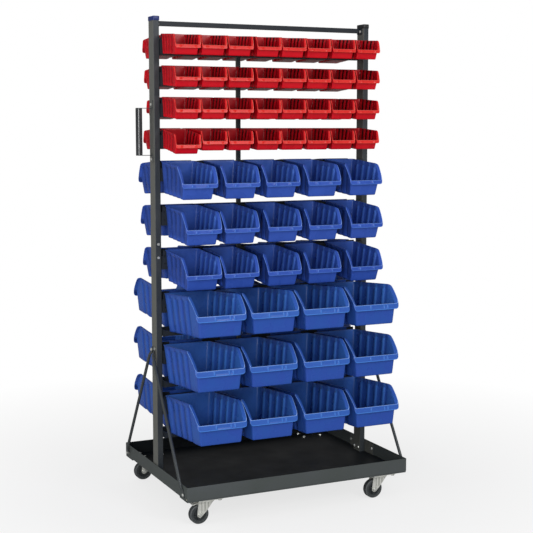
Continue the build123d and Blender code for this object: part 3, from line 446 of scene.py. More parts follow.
# The maker, the material's name, the colours that it is given, and what differs from the usual
FINISHES = {
    "bin_red": (moulded_polypropylene, "red moulded polypropylene", "red red_rim red_deep", {}),
    "bin_blue": (moulded_polypropylene, "blue moulded polypropylene", "blue blue_rim blue_deep", {}),
    "bin_large": (moulded_polypropylene, "mid blue moulded polypropylene", "large_blue large_rim large_deep", {}),
    # The tray's inside gets a darker colour as painted shade
    "tray": (powder_coated_steel, "grey powder-coated sheet steel", "tray tray_dust tray tray_inside", {}),
    # The posts' faces that look towards -X get painted light
    "post": (powder_coated_steel, "charcoal powder-coated tube", "post post_dust post_side", {"roughness": 0.36}),
    "rail": (powder_coated_steel, "black powder-coated rails", "rail rail_dust", {"roughness": 0.45}),
    "brace": (powder_coated_steel, "grey powder-coated round bar", "brace post_dust",
              {"roughness": 0.2, "gloss": 0.6}),
    "grip": (powder_coated_steel, "black stove-enamelled round tube", "grip post_dust",
             {"roughness": 0.13, "gloss": 0.6, "orange": 0.02}),
    "zinc": (zinc_plated_steel, "zinc-plated pressed steel", "zinc zinc_dull crease", {}),
    "bolt": (zinc_plated_steel, "zinc-plated bolts", "bolt zinc_dull crease", {"roughness": 0.28}),
    "brass": (zinc_plated_steel, "yellow-passivated rivet", "rivet zinc_dull crease", {"roughness": 0.36}),
    "rubber": (solid_rubber, "solid rubber", "rubber rubber_dust tread", {}),
    "hub": (moulded_plain, "moulded polyamide", "hub rubber", {"roughness": 0.5}),
    "cap_blue": (moulded_plain, "dark blue moulded polyethylene", "cap_blue cap_black", {}),
    "cap_black": (moulded_plain, "black moulded polyethylene", "cap_black rubber", {}),
}


def finish(key):
    """The material for one finish of the cart, made the first time that it is asked for."""
    maker, name, colours, differing = FINISHES[key]
    if name not in bpy.data.materials:
        held = bpy.context.scene.cart_colours
        maker(name, *[getattr(held, colour) for colour in colours.split()], **differing)
    return bpy.data.materials[name]


# ---- bins ----
def front_drop(share):
    """How far the side's edge has dropped, as a share, after a share of its run down to the lip."""
    run = (0, 0.10, 0.20, 0.34, 0.48, 0.62, 0.76, 0.89, 0.96, 1.0)
    drop = (0, 0.02, 0.07, 0.17, 0.30, 0.45, 0.61, 0.78, 0.90, 1.0)
    return np.interp(share, run, drop)


def bin_stations(k):
    """Places round the right half of a bin's plan, from the middle of the back to the middle of the
    front: share across, normal (across and forward), corner radius, run of the corner's centre, and
    whether the place lies on the back (0), the level side (1), the sloping side (2) or the front with
    its corner (3)."""
    back_r, front_r = k["back_radius"], k["front_radius"]
    front_top = k["length"] - BAND_RAKE - BAND_LEDGE
    outer_half = k["width"] / 2
    flank = 0.9 * k["flute_depth"]
    floor_half = k["groove"] * k["pitch"] / 2
    up = np.array((0.0, 0.5, 1.0)) * flank + floor_half
    centres = k["first"] + k["pitch"] * np.arange(k["flutes"])
    grooves = (centres[:, None] + np.concatenate([-up[::-1], [0.0], up])).ravel()
    bead = [k["bead"] - 1.6, k["bead"], k["bead"] + 1.6] if k["bead"] else []
    level = np.unique(np.concatenate([[back_r, k["rim_run"]], grooves[grooves < k["rim_run"]], bead]))
    late = grooves[grooves > k["rim_run"] + 1]
    slope = k["rim_run"] + (front_top - front_r - k["rim_run"]) * np.linspace(0, 1, k["corner"] + 4)[1:]
    slope = np.unique(np.round(np.concatenate([slope, late]), 3))
    back = np.linspace(0, 1, 5)[:-1]
    turn_back = np.radians(np.linspace(0, 90, 5))[:-1]
    turn_front = np.radians(np.linspace(0, 90, k["corner"] + 2))[1:-1]
    ends = outer_half - k["out_radius"] - np.array((0, 1.5, 4.0, 7.5, 12.0))
    beside = (-0.018, -0.009, 0.009, 0.018)
    ribs = np.array([abs(mark - 0.5) + step for mark in k["holder"] for step in beside]) * 2 * outer_half
    front = np.unique(np.round(np.concatenate([ends, ribs, np.array((0, 0.2, 0.4, 0.6)) * outer_half]), 2))[::-1]
    front = front / (outer_half - k["out_radius"])
    parts = (
        (back, 0, -1, back_r, back_r, 0),
        (1, np.sin(turn_back), -np.cos(turn_back), back_r, back_r, 0),
        (1, 1, 0, back_r, level, 1),
        (1, 1, 0, front_r, slope, 2),
        (1, np.cos(turn_front), np.sin(turn_front), front_r, front_top - front_r, 3),
        (front, 0, 1, front_r, front_top - front_r, 3),
    )
    return np.hstack([np.stack(np.broadcast_arrays(*part)) for part in parts])


def bin_shell(kind):
    """An open-fronted bin as one closed skin. Stations run round the plan, a rectangle with rounded
    corners; at each one a section climbs from the floor's middle up the outer wall, round the rim or
    the front lip, and down the inner wall to the floor's middle again. A wall point lies on the
    straight line from the floor to the rim's edge, moved in by the flutes. A flute has a level floor
    and straight flanks, and starts under a round arch below the rim. The edge drops along the
    S-shaped curve towards the front, and the lip's lower corners are quarter ellipses."""
    k = BIN_KINDS[kind]
    height, wall, ledge, out_r = k["height"], k["wall"], k["ledge"], k["out_radius"]
    lip_run = k["length"] - BAND_RAKE
    front_top = lip_run - BAND_LEDGE
    front_bottom = front_top - k["front_lean"]
    back_r, front_r = k["back_radius"], k["front_radius"]
    half_top = k["width"] / 2 - ledge
    right = bin_stations(k)
    left = right[:, -2:0:-1] * np.array((-1, -1, 1, 1, 1, 1))[:, None]
    sx, nx, nf, radius, centre, region = np.hstack([right, left])
    share = (centre - back_r) / (front_top - front_r - back_r)
    low_centre = k["back_taper"] + back_r + share * (front_bottom - front_r - k["back_taper"] - back_r)

    # The rim's overhang: straight out on the sides, and to a corner of its own radius at the front
    corner = region == 3
    start = np.clip((centre - k["rim_run"]) / (front_top - front_r - k["rim_run"]), 0, 1) * (region >= 2)
    pushed = (front_r + BAND_LEDGE - out_r) * start
    along = (centre + pushed + out_r * np.clip(nf, 0, 1) * corner - k["rim_run"]) / (lip_run - k["rim_run"])
    reach = BACK_REACH + (ledge - BACK_REACH) * smooth(along / 0.22)
    over_x = np.where(corner, sx * (radius + ledge - out_r) + (out_r - radius) * nx, reach * nx)
    over_f = np.where(corner, radius + BAND_LEDGE - out_r + (out_r - radius) * nf,
                      pushed + reach * np.clip(nf, -1, 0))
    over = np.stack([over_x, over_f, 0 * nx], axis=-1)
    over_length = np.linalg.norm(over, axis=1)[:, None]
    edge = -k["lip_drop"] * front_drop(np.clip(along, 0, 1))
    steep = (front_drop(np.clip(along + 0.03, 0, 1)) - front_drop(np.clip(along - 0.03, 0, 1))) / 0.06
    stretch = np.minimum(np.sqrt(1 + (steep * k["lip_drop"] / (lip_run - k["rim_run"])) ** 2), 2.2)
    across = sx * (half_top - radius) + radius * nx + over_x
    inside = np.clip((half_top + ledge - np.abs(across)) / k["band_round"], 0, 1)
    lip = LIP_CORNER + (k["band"] - LIP_CORNER) * np.sqrt(1 - (1 - inside) ** 2)
    thick = np.where(corner, lip, SIDE_SKIRT * stretch)
    web = np.minimum(0.7 * thick, 2.8 * stretch)
    rake = BAND_RAKE * np.clip(nf, 0, 1) * corner

    # Flutes: how far each station lies from its nearest one's middle, and how deep it is pressed there
    which = np.clip(np.round((centre - k["first"]) / k["pitch"]), 0, k["flutes"] - 1)
    off = centre - k["first"] - which * k["pitch"]
    side = np.abs(nx) > 0.999
    floor_half, flank = k["groove"] * k["pitch"] / 2, 0.9 * k["flute_depth"]
    wave = np.clip(1 - (np.abs(off) - floor_half) / flank, 0, 1) * side
    aside = np.clip(np.abs(off) / (floor_half + flank), 0, 0.999)
    arch = 0.6 * (floor_half + flank) * (1 - np.sqrt(1 - aside ** 2))
    bead = 0.9 * (np.abs(centre - k["bead"]) < 0.5) * side * (k["bead"] > 0)
    pad = np.clip((np.where(off > 0, off, off + k["pitch"]) - floor_half) / (k["pitch"] - 2 * floor_half), 0, 1)
    pad = pad * side * (wave < 0.9) * (region < 3) * (centre < k["first"] + (k["flutes"] - 0.6) * k["pitch"])

    def outer(z, out=0.0):
        """Wall points at one height for each station, moved out along the wall's normal."""
        rise = (z + height) / (edge + height)
        f = low_centre + (centre - low_centre) * rise
        half = half_top + k["side_taper"] * z / height
        groove = k["flute_depth"] * wave * smooth((edge - k["flute_top"] - arch - z) / (0.4 * k["flute_top"]))
        away = radius - groove + bead + out
        return np.stack([sx * (half - radius) + away * nx, f + (radius + out) * nf, z], axis=-1)

    floor = np.full_like(edge, -height)
    foot = k["foot"] * (1 + 1.5 * pad)
    rows, zone = [], []

    def add_row(points, tint):
        rows.append(points)
        zone.append(tint * np.ones_like(edge))

    # Painted light and shade on the walls. Outside, each side wall is painted lighter or darker by kind and a
    # flute's floor gets painted shade; inside, the walls are painted lighter or darker by kind, a flute stands out
    # as a rib with a painted highlight on its crest, and the hollows beside it get painted shade
    outer_light_and_groove_shade = k["outer"] * side - 0.25 * wave
    ribbed = k["inner"] + (0.2 * wave - k["shade"] * (1 - wave) * (np.abs(off) < 0.5 * k["pitch"] + 1)) * side

    middle = np.array((0, (k["back_taper"] + front_bottom) / 2, 0))
    low_ring = outer(floor, -foot)
    add_row(middle + (low_ring - middle) * (0.5, 0.5, 1), 0)
    add_row(low_ring, 0)
    add_row(outer(floor + 0.3 * foot, -0.3 * foot), 0)
    add_row(outer(floor + foot), 0)
    under = edge - web
    near_top = k["flute_top"] * np.array((0.85, 1.15, 1.4, 1.75, 2.4))
    drops = np.concatenate([[0.8 * height, 0.45 * height], near_top[::-1]])
    for part in 1 - (drops - 3.5) / (height - k["foot"] - 3.5):
        add_row(outer(floor + foot + (under - 1.0 - floor - foot) * part), outer_light_and_groove_shade * (part < 0.97))
    # Painted shade in a line under the lip
    add_row(outer(under - 0.6), -0.5 * corner)
    at_edge = outer(edge)

    def rim(inset, drop, tint):
        """A rim point: so far in from the overhang's end, towards the wall, and so far down from the edge."""
        shift = over * (1 - np.reshape(inset * np.ones_like(edge), (-1, 1)) / over_length)
        add_row(at_edge + shift - np.stack([0 * edge, 0 * edge, drop * np.ones_like(edge)], axis=-1), tint)

    sloping = smooth(along / 0.15)
    # Painted light on the lip's face and the sloping rims, and painted highlight lines along the crests
    face_painted_light = k["band_painted_light"] * (0.5 + 0.5 * corner) * sloping
    crest_highlight = k["crest_highlight"] * (0.3 + 0.7 * sloping)
    skirt = 1.8
    # Painted shade under the lip, then painted highlight lines along the lower edge of the lip and skirt
    rim(skirt, web, -0.5 * corner)
    rim(skirt - rake, 0.93 * thick, -0.3 * corner)
    rim(skirt / 2 - rake, thick, 0.8 * crest_highlight)
    rim(0.2 - rake, 0.97 * thick, 1.5 * crest_highlight)
    clear = 0.5 + across / (2 * (half_top + ledge))
    near = np.min([np.abs(clear - mark) for mark in k["holder"]], axis=0)
    ridge = corner * (nf > 0.999) * (near < 0.0105)
    low_mark, high_mark = min(k["holder"]), max(k["holder"])
    recess = corner * (nf > 0.999) * (clear > low_mark) * (clear < high_mark) * (kind == "large")
    # The lip's face: a painted highlight line at its lower edge and painted highlights on the holder's ridges
    for part, mark, line in ((0.90, 0, 1), (0.84, 0, 0), (0.76, 1, 0), (0.27, 1, 0), (0.21, 0, 0)):
        lit = np.maximum(face_painted_light, np.maximum(0.5 * ridge * mark, 1.3 * crest_highlight * line * corner))
        rim(-rake * part - (1.2 * ridge - 0.7 * recess) * mark, part * thick, lit)
    rim(-rake * 0.1, np.maximum(1.2, 0.1 * thick), face_painted_light)
    # A painted glint on the sloping rim's outer edge, where the zone goes above 1; elsewhere painted highlight
    # lines
    pale = k["pale"] * sloping * (0.6 + 0.4 * corner)
    rim(0.35, 0.35, np.where(pale > 0.02, 1.0 + pale, 1.6 * crest_highlight))
    rim(1.2, 0, np.where(pale > 0.02, 1.0 + pale, 1.2 * crest_highlight))
    # Painted light on the lip's top and inner edge
    rim(2.0, 0, face_painted_light)
    add_row(outer(edge, 0.9 - wall), face_painted_light)
    add_row(outer(edge - 0.3, 0.25 - wall), face_painted_light)
    top = edge - 0.9
    drops = np.concatenate([[0.9], near_top, [0.45 * height, 0.8 * height]])
    for part in (drops - 0.9) / (height - wall - 0.7 * k["foot"] - 0.9):
        # Inside rows: painted light and shade of the inner walls, ribs and hollows
        add_row(outer(top + (floor + wall + 0.7 * k["foot"] - top) * part, -wall), ribbed)
    # Painted shade where the inner wall meets the floor
    add_row(outer(floor + wall + 0.7 * k["foot"], -wall), -0.3)
    add_row(outer(floor + wall + 0.2 * k["foot"], -wall - 0.2 * k["foot"]), 0)
    inner_ring = outer(floor + wall, -wall - 0.7 * k["foot"])
    add_row(inner_ring, 0)
    add_row(middle + (inner_ring - middle) * (0.5, 0.5, 1), 0)
    vertices, quads, triangles = skin(np.array(rows) * (1, -1, 1))
    zones = np.concatenate([np.array(zone).ravel(), [0, 0]])

    # The hook behind the rim that goes over the rail
    reach_half = k["width"] * HOOK_WIDTH_SHARE / 2
    thin = HOOK_THICKNESS / 2
    far = HOOK_REACH - thin
    turn = arc((far - 1.6, -thin - 1.6), 1.6, 90, 0, 5)
    line = np.vstack([[-wall / 2, -thin], [1.0, -thin], turn, [far, -7.0], [far, -HOOK_DROP]])
    path = np.column_stack([np.zeros(len(line)), line])
    hook = sweep(path, (1, 0, 0), rounded_rectangle(reach_half, thin, 0.8, 3))
    shell = joined([(tipped(vertices, k["tilt"]), quads, triangles), hook])
    return shell, np.concatenate([zones, np.zeros(len(hook[0]))])


def tipped(vertices, degrees):
    """Turned about the x axis, so that the front goes down for a positive angle."""
    cosine, sine = math.cos(math.radians(degrees)), math.sin(math.radians(degrees))
    return vertices @ np.array([[1, 0, 0], [0, cosine, sine], [0, -sine, cosine]])


class CART_OT_bins(bpy.types.Operator):
    """Hang every row of bins on its rail, front and rear"""
    bl_idname = "cart.bins"
    bl_label = "Bins"

    def execute(self, context):
        finishes = {"small": "bin_red", "medium": "bin_blue", "large": "bin_large"}
        shapes = {kind: bin_shell(kind) for kind in BIN_KINDS}
        for number, (rim, kind, shares, push) in enumerate(ROWS, start=1):
            shell, zones = shapes[kind]
            for face in ("front", "rear"):
                front = face == "front"
                along = [MIDDLE_X + (s * POST_INNER if front else push - s * POST_INNER) for s in shares]
                places = [(x, -BIN_BACK if front else BIN_BACK, rim) for x in along]
                # The first bin of the fourth row hangs askew: tipped forward and a little low
                askew = front and number == 4
                row = repeated(shell if front else half_turned(shell), places[askew:])
                if askew:
                    loose = (tipped(shell[0], 4.5), shell[1], shell[2])
                    row = joined([row, repeated(loose, [np.array(places[0]) + (0, -3.0, -2.0)])])
                piece(f"{face}_bins_{number}", row, finish(finishes[kind]), f"{face}_row_{number}",
                      (f"{face}_bins_row_{number}",), np.tile(zones, len(places)), sharp=50.0)
        return {"FINISHED"}


# ---- tray, posts and frame ----
class CART_OT_tray(bpy.types.Operator):
    """Fold the tray: sheet pan, stiffening strips and the corner rivet"""
    bl_idname = "cart.tray"
    bl_label = "Tray"

    def execute(self, context):
        sheet, bend = 2.0, 3.5
        rows = []

        def ring(inset, z, radius):
            rows.append(level_ring(TRAY_HALF_X - inset, TRAY_HALF_Y - inset, radius, z, 6))

        for run, rise in arc((0, 0), bend, 270, 360, 6):
            ring(bend - run, TRAY_BOTTOM + bend + rise, max(3.0 - bend + run, 0.6))
        for inset, drop, radius in ((0, 0.6, 3.0), (0.6, 0, 2.4), (sheet - 0.6, 0, 1.6), (sheet, 0.6, 1.2)):
            ring(inset, TRAY_TOP - drop, radius)
        inner = bend - sheet
        for run, rise in arc((0, 0), inner, 360, 270, 5):
            ring(sheet + inner - run, TRAY_BOTTOM + bend + rise, max(1.2 - inner + run, 0.3))
        pan = skin(np.array(rows) + (MIDDLE_X, 0, 0))
        strips = [slab(TRAY_HALF_X - 1.0, 40.0, 1.0, 97.0, 102.3, (MIDDLE_X, y)) for y in (-316.0, 316.0)]
        shell = joined([pan] + strips)
        # The inside runs from the tenth ring, under the lip, to the last one and the floor's middle; its darker
        # colour is painted shade
        zones = np.zeros(len(shell[0]))
        zones[9 * len(rows[0]):len(rows) * len(rows[0])] = 1
        zones[len(pan[0]) - 1] = 1
        piece("tray_pan", shell, finish("tray"), "frame", ("base_tray",), zones)
        dome = [(2.6, 0.0), (2.5, 0.5), (1.9, 1.1), (1.0, 1.4), (0.3, 1.5)]
        rivet = lathe(dome, (MIDDLE_X - TRAY_HALF_X, -353.5, 109.0), (-1, 0, 0), 16)
        piece("corner_rivet", rivet, finish("brass"), "frame", ())
        return {"FINISHED"}


class CART_OT_frame(bpy.types.Operator):
    """Coat the posts, rails and other folded steel that keep their CAD shape, and mould the caps"""
    bl_idname = "cart.frame"
    bl_label = "Posts and rails"

    def execute(self, context):
        plain = ("foot_brackets", "left_lower_post", "right_lower_post", "left_upper_post", "right_upper_post",
                 "splice_sleeves", "top_crossbar", "centre_strut", "small_bin_rails", "medium_bin_rails",
                 "large_bin_rails")
        for name in plain:
            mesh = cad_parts[name].data
            mesh.materials.clear()
            mesh.materials.append(finish("rail" if "rails" in name or "crossbar" in name else "post"))
        for name, side, key in (("left_cap", -1, "cap_blue"), ("right_cap", 1, "cap_black")):
            rows = [level_ring(13.55 - inset, 29.05 - inset, max(4.4 - inset, 1.2), z, 6)
                    for inset, z in CAP_LEVELS]
            moulding = skin(np.array(rows) + (MIDDLE_X + side * POST_MIDDLE, 0, 0))
            piece(name + "_moulding", moulding, finish(key), "frame", (name,))
        return {"FINISHED"}


class CART_OT_handle(bpy.types.Operator):
    """Make the handle: a round grip between two bent straps"""
    bl_idname = "cart.handle"
    bl_label = "Handle"

    def execute(self, context):
        grip_x, low, high = MIDDLE_X - 522.0, 1378.5, 1556.5
        wall = [(12.7, low + 0.5), (12.7, high - 0.5), (12.3, high), (11.6, high),
                (11.2, high - 0.4), (11.2, low + 0.4), (11.6, low), (12.3, low)]
        grip = lathe(wall, (grip_x, 0, 0), (0, 0, 1), 48, close_rows=True)
        piece("handle_tube", grip, finish("grip"), "frame", ("handle_grip",))
        shells = []
        for base, rise in ((high, 1), (low, -1)):
            # The middle line of the strap, which is 2 thick: along the post, round the bend and over the end
            # of the grip to a half-round tip
            face = MIDDLE_X - POST_OUTER - 1.0
            bend = arc((face - 3.0, 4.0), 3.0, 0, -90, 6)
            turn = np.radians(np.linspace(0, 84, 8))[1:]
            out = np.concatenate([np.linspace(face - 4.0, grip_x, 8), grip_x - 12.45 * np.sin(turn)])
            across_end = np.column_stack([out, np.ones(len(out))])
            line = np.vstack([[face, 30.99], [face, 30.0], [face, 5.0], bend, across_end])
            width = np.full(len(line), 12.5)
            width[0] = 11.6
            width[-len(turn):] = 12.5 * np.cos(turn)
            path = np.column_stack([line[:, 0], np.zeros(len(line)), base + rise * line[:, 1]])
            profile = np.array([rounded_rectangle(w, 1.0, min(0.4, w / 2), 3) for w in width])
            shells.append(sweep(path, (0, 1, 0), profile))
        piece("handle_straps", joined(shells), finish("post"), "frame", ("handle_brackets",))
        return {"FINISHED"}


class CART_OT_braces(bpy.types.Operator):
    """Press the four round braces flat at their ends"""
    bl_idname = "cart.braces"
    bl_label = "Braces"

    def execute(self, context):
        for side, side_name in ((-1, "left"), (1, "right")):
            for face, face_name in ((-1, "front"), (1, "rear")):
                inner = 475.0 if face < 0 else 478.0
                top, foot = np.array((0.0, BRACE_TOP_Z)), np.array((face * BRACE_FOOT_Y, BRACE_FOOT_Z))
                length = np.linalg.norm(foot - top)
                ends = np.array([-12, -11.6, -10.4, -8.3, -5, 0, 7, 13, 16, 19, 22, 25, 29])
                along = np.concatenate([ends, np.linspace(40, length - 40, 6), length - ends[::-1]])
                near = np.minimum(along, length - along)
                # Round bar between the ends; there it is pressed flat and wide, with a half-round tip
                flat = 1 - smooth((near - 13) / 16)
                half_out, half_wide = [BRACE_RADIUS + (end - BRACE_RADIUS) * flat for end in BRACE_END]
                round_off = np.clip((near + 12) / BRACE_END[1], 0, 1)
                tip = BRACE_END[1] * np.sqrt(1 - (1 - round_off) ** 2) + 0.4
                half_wide = np.where(near < -3.5, tip, half_wide)
                angle = np.arange(24) * 2 * math.pi / 24
                power = 1.0 - 0.55 * flat[:, None]
                wide, out = [np.sign(wave) * np.abs(wave) ** power * half[:, None]
                             for wave, half in ((np.cos(angle), half_wide), (np.sin(angle), half_out))]
                yz = top + (foot - top) * (along / length)[:, None]
                tangent = (foot - top) / length
                x = MIDDLE_X + side * (inner + half_out[:, None] + out)
                points = np.stack([x, yz[:, :1] - tangent[1] * wide, yz[:, 1:] + tangent[0] * wide], axis=-1)
                name = f"{side_name}_{face_name}_brace"
                piece(name + "_bar", skin(points), finish("brace"), "frame", (name,))
        return {"FINISHED"}


def hex_head(size, height, centre, axis, steps=24):
    """A hexagon head: washer face, flats, and a chamfer that ends in a shallow crown."""
    flat = size / 2
    outline = [(flat * 0.96, 0), (flat, 0.15), (flat, 0.72 * height),
               (flat * 0.93, 0.93 * height), (flat * 0.72, height)]
    return lathe(outline, centre, axis, steps, hexagon=True)


def spacer(thickness, centre, axis):
    """A brace's spacer ring with softened edges."""
    outline = [(7.6, 0), (8.0, 0.4), (8.0, thickness - 0.4), (7.6, thickness),
               (3.4, thickness), (3.2, thickness - 0.2), (3.2, 0.2), (3.4, 0)]
    return lathe(outline, centre, axis, 24, close_rows=True)


class CART_OT_bolts(bpy.types.Operator):
    """Fit the bolt heads, nuts and spacers of the frame"""
    bl_idname = "cart.bolts"
    bl_label = "Bolts"

    def execute(self, context):
        levels = [rim - RAIL_BOLT_DROP for rim, kind, shares, push in ROWS]
        levels += [rim - BEARER_BOLT_DROP for rim, kind, shares, push in ROWS if kind == "large"]
        rail_places = [(y, z) for z in levels for y in (-20.0, 20.0)]
        shells = []
        for side in (-1, 1):
            inward, outward = (-side, 0, 0), (side, 0, 0)
            shells += [hex_head(*FRAME_BOLT, (MIDDLE_X + side * 443.0, y, z), inward, 12) for y, z in rail_places]
            # Crossbar, foot brackets, braces and the splice of the posts, by the distance from the cart's middle
            places = [(443.0, -5.0, 1876.2, inward)]
            places += [(POST_INNER, y, 121.0, inward) for y in (-16.0, 16.0)]
            places += [(POST_OUTER, y, 130.0, inward) for y in (-89.5, 89.5)]
            places += [(481.0, 0.0, BRACE_TOP_Z, outward), (478.0, -BRACE_FOOT_Y, BRACE_FOOT_Z, outward),
                       (481.0, BRACE_FOOT_Y, BRACE_FOOT_Z, outward)]
            places += [(POST_MIDDLE, -27.5, z, (0, -1, 0)) for z in (981.5, 1034.0)]
            places += [(POST_MIDDLE, 27.5, z, (0, 1, 0)) for z in (788.5, 736.0)]
            shells += [hex_head(*FRAME_BOLT, (MIDDLE_X + side * x, y, z), axis) for x, y, z, axis in places]
            shells.append(spacer(5.0, (MIDDLE_X + side * POST_OUTER, 0, BRACE_TOP_Z), outward))
            shells.append(spacer(3.0, (MIDDLE_X + side * TRAY_HALF_X, BRACE_FOOT_Y, BRACE_FOOT_Z), outward))
        shells += [hex_head(*FRAME_BOLT, (MIDDLE_X - 472.0, 0, z), (-1, 0, 0)) for z in (1363.0, 1572.0)]
        for place_x, place_y in CASTERS.values():
            for sx, sy in ((-1, -1), (-1, 1), (1, -1), (1, 1)):
                x, y = MIDDLE_X + place_x + sx * 40.0, place_y + sy * 29.0
                shells += [hex_head(*CASTER_BOLT, (x, y, 104.0), (0, 0, 1)),
                           hex_head(*CASTER_NUT, (x, y, 94.5), (0, 0, -1))]
        piece("bolt_heads_and_nuts", joined(shells), finish("bolt"), "frame", ("bolts",))
        return {"FINISHED"}


# ---- casters ----
def fork_leg(x, y, side):
    """One pressed leg of a fork. Its middle line leaves the crown level, turns down and ends at the
    axle; at each step the section runs from the trailing edge to the leading edge and back on the
    inner face. Three upright ribs stand out from the leg, each a raised cosine that fades towards the
    eye and the edges; the creases beside them, the edge behind the last one and a ring round the axle get painted
    shade."""
    mid, eye = 15.75, FORK_EYE
    bend = arc((mid - 4.5, 84.7), 4.5, 90, 0, 7)
    low = AXLE_Z - eye * np.sin(np.radians(np.linspace(0, 88, 9)))
    down = np.column_stack([np.full(21, mid), np.concatenate([np.linspace(82, 39.5, 12), low])])
    line = np.vstack([[4.0, 89.2], [8.0, 89.2], bend, down])
    z = line[:, 1]
    round_off = eye * np.sqrt(np.clip(1 - ((AXLE_Z - z) / eye) ** 2, 0.001, 1))
    back = np.interp(z, (AXLE_Z, 60, 82, 88, 90), (-47.0, -44.8, -41.5, -36.0, -33.0))
    back = np.where(z < AXLE_Z, -TRAIL - round_off, back)
    fore = np.interp(z, (30.0, 42, 55, 75, 88, 90), (-28.2, -16.2, -4.0, 11.0, 20.0, 21.0))
    fore = np.where(z < 30.0, -TRAIL + round_off, fore)
    across = np.linspace(0, 1, 41)
    spread = back[:, None] + (fore - back)[:, None] * across
    away = np.min([np.abs(spread - middle) for middle in LEG_RIBS], axis=0)
    rib = 0.5 + 0.5 * np.cos(math.pi * np.clip(away / 5.2, 0, 1))
    fade = smooth((spread - back[:, None] - 2) / 4) * smooth((fore[:, None] - spread - 1.5) / 4)
    fade = fade * smooth((z - 44) / 8)[:, None] * smooth((87 - z) / 3)[:, None]
    lip = 0.9 * smooth((3.2 - (spread - back[:, None])) / 2.4) * (z < 84)[:, None]
    ribbed = (spread > LEG_RIBS[0] - 8) * (spread < LEG_RIBS[-1] + 4)
    # Painted shade in the creases beside the ribs
    crease = 0.85 * np.clip((away - 3.6) / 2.0, 0, 1) * fade * ribbed
    # Painted shade on the edge behind the last rib
    edge = 0.35 * smooth((spread - LEG_RIBS[-1] - 3) / 3) * (z > 50)[:, None]
    # A painted shadow in a ring round the axle's head
    ring = 0.8 * (np.abs(np.hypot(spread + TRAIL, (z - AXLE_Z)[:, None]) - 8.0) < 1.6)
    dark = np.clip(crease + edge + ring, 0, 1)
    tangent = np.gradient(line, axis=0)
    normal = np.stack([-tangent[:, 1], tangent[:, 0]], axis=-1)
    normal /= np.linalg.norm(normal, axis=1)[:, None]
    faces = []
    for half, order in ((1.25, slice(None)), (-1.25, slice(None, None, -1))):
        shift = (1.6 * rib * fade + lip) + half
        yz = line[:, None] + normal[:, None] * shift[..., None]
        faces.append(np.stack([spread, yz[..., 0] * side, yz[..., 1]], axis=-1)[:, order])
    zones = np.concatenate([dark, 0 * dark], axis=1).ravel()
    return skin(np.concatenate(faces, axis=1) + (x, y, 0)), np.concatenate([zones, [0, 0]])


def brake_lever(x, y):
    """A pressed lever: its middle line runs level from the nose, steps down at the pedal and turns
    down at the tip; the plate widens from the arm to the pedal, and a pin crosses it."""
    run = np.array([-14.0, -14.6, -20, -28, -36, -40.4, -41.6, -46,
                    -50.5, -52.5, -54.5, -57, -60, -63, -65.4, -66.0])
    end = np.isin(run, (-14.0, -66.0))
    drop = 0.5 * smooth((-50.5 - run) / 3.0) + 3.8 * np.clip((-54.0 - run) / 12.0, 0, 1) ** 1.5
    wide = 13.0 + 7.0 * smooth((-40.0 - run) / 3.0) - 0.8 * end
    path = np.column_stack([run, 0 * run, BRAKE_Z - drop]) + (x, y, 0)
    half = np.where(end, 0.9, 1.5)
    profile = np.array([rounded_rectangle(w, h, 0.7, 4) for w, h in zip(wide, half)])
    plate = sweep(path, (0, 1, 0), profile)
    pin = [(0.6, -17.0), (2.2, -17.0), (2.5, -16.6), (2.5, 16.6), (2.2, 17.0), (0.6, 17.0)]
    return joined([plate, lathe(pin, (x - 24.0, y, BRAKE_Z), (0, 1, 0), 20)])


def mirrored(half):
    """A whole outline from one half: its points, then the same ones backwards on the axis's other side."""
    return half + [(radius, -along) for radius, along in half[::-1]]


class CART_OT_casters(bpy.types.Operator):
    """Assemble the four casters: plate and race, fork, hub, tyre, axle and brake"""
    bl_idname = "cart.casters"
    bl_label = "Casters"

    def execute(self, context):
        across, up = (0, 1, 0), (0, 0, 1)
        fixed = []
        for name, (place_x, y) in CASTERS.items():
            x = MIDDLE_X + place_x
            wheel = (x - TRAIL, y, AXLE_Z)
            swivel, rolling = name + "_swivel", name + "_wheel"
            fixed += [slab(50.0, 39.0, 6.0, 94.5, 97.0, (x, y)), lathe(RACE, (x, y, 0), up, 40)]
            crown = lathe(CROWN, (x, y, 0), up, 40, close_rows=True)
            legs, marks = zip(*[fork_leg(x, y, side) for side in (-1, 1)])
            zones = np.concatenate([np.zeros(len(crown[0])), *marks])
            piece(name + "_pressed_fork", joined([crown, *legs]), finish("zinc"), swivel,
                  (name + "_fork",), zones)
            ends = [lathe([(4.0, -17.0), (4.0, 17.0)], wheel, across, 20)]
            for side in (-1, 1):
                foot, out = (wheel[0], y + side * 17.0, AXLE_Z), (0, side, 0)
                ends += [lathe(AXLE_NUT, foot, out, 24, hexagon=True), lathe(AXLE_END, foot, out, 16)]
            piece(name + "_axle_bolt", joined(ends), finish("bolt"), swivel, (name + "_axle",))
            hub = [lathe(mirrored(HUB_HALF), wheel, across, 48, close_rows=True)]
            for turn in np.arange(6) * math.pi / 3 + 0.3:
                spoke = np.array((math.cos(turn), 0, math.sin(turn)))
                path = np.array(wheel) + spoke * np.linspace(12.5, 22.6, 4)[:, None]
                hub.append(sweep(path, (-spoke[2], 0, spoke[0]), rounded_rectangle(1.6, 11.0, 0.7, 3)))
            piece(name + "_wheel_centre", joined(hub), finish("hub"), rolling, (name + "_hub",))
            tyre = lathe(mirrored(TYRE_SIDE), wheel, across, 72, close_rows=True)
            # The tyre's lines are greyed as rubbing and as painted highlight on the shoulders
            zones = np.repeat(TYRE_WEAR_AND_HIGHLIGHT + TYRE_WEAR_AND_HIGHLIGHT[::-1], 72)
            piece(name + "_rubber_tyre", tyre, finish("rubber"), rolling, (name + "_tyre",), zones)
            if place_x < 0:
                piece(name + "_pedal", brake_lever(x, y), finish("zinc"), name + "_brake",
                      (name + "_brake",))
        piece("caster_top_plates", joined(fixed), finish("zinc"), "frame", ("caster_plates",))
        return {"FINISHED"}


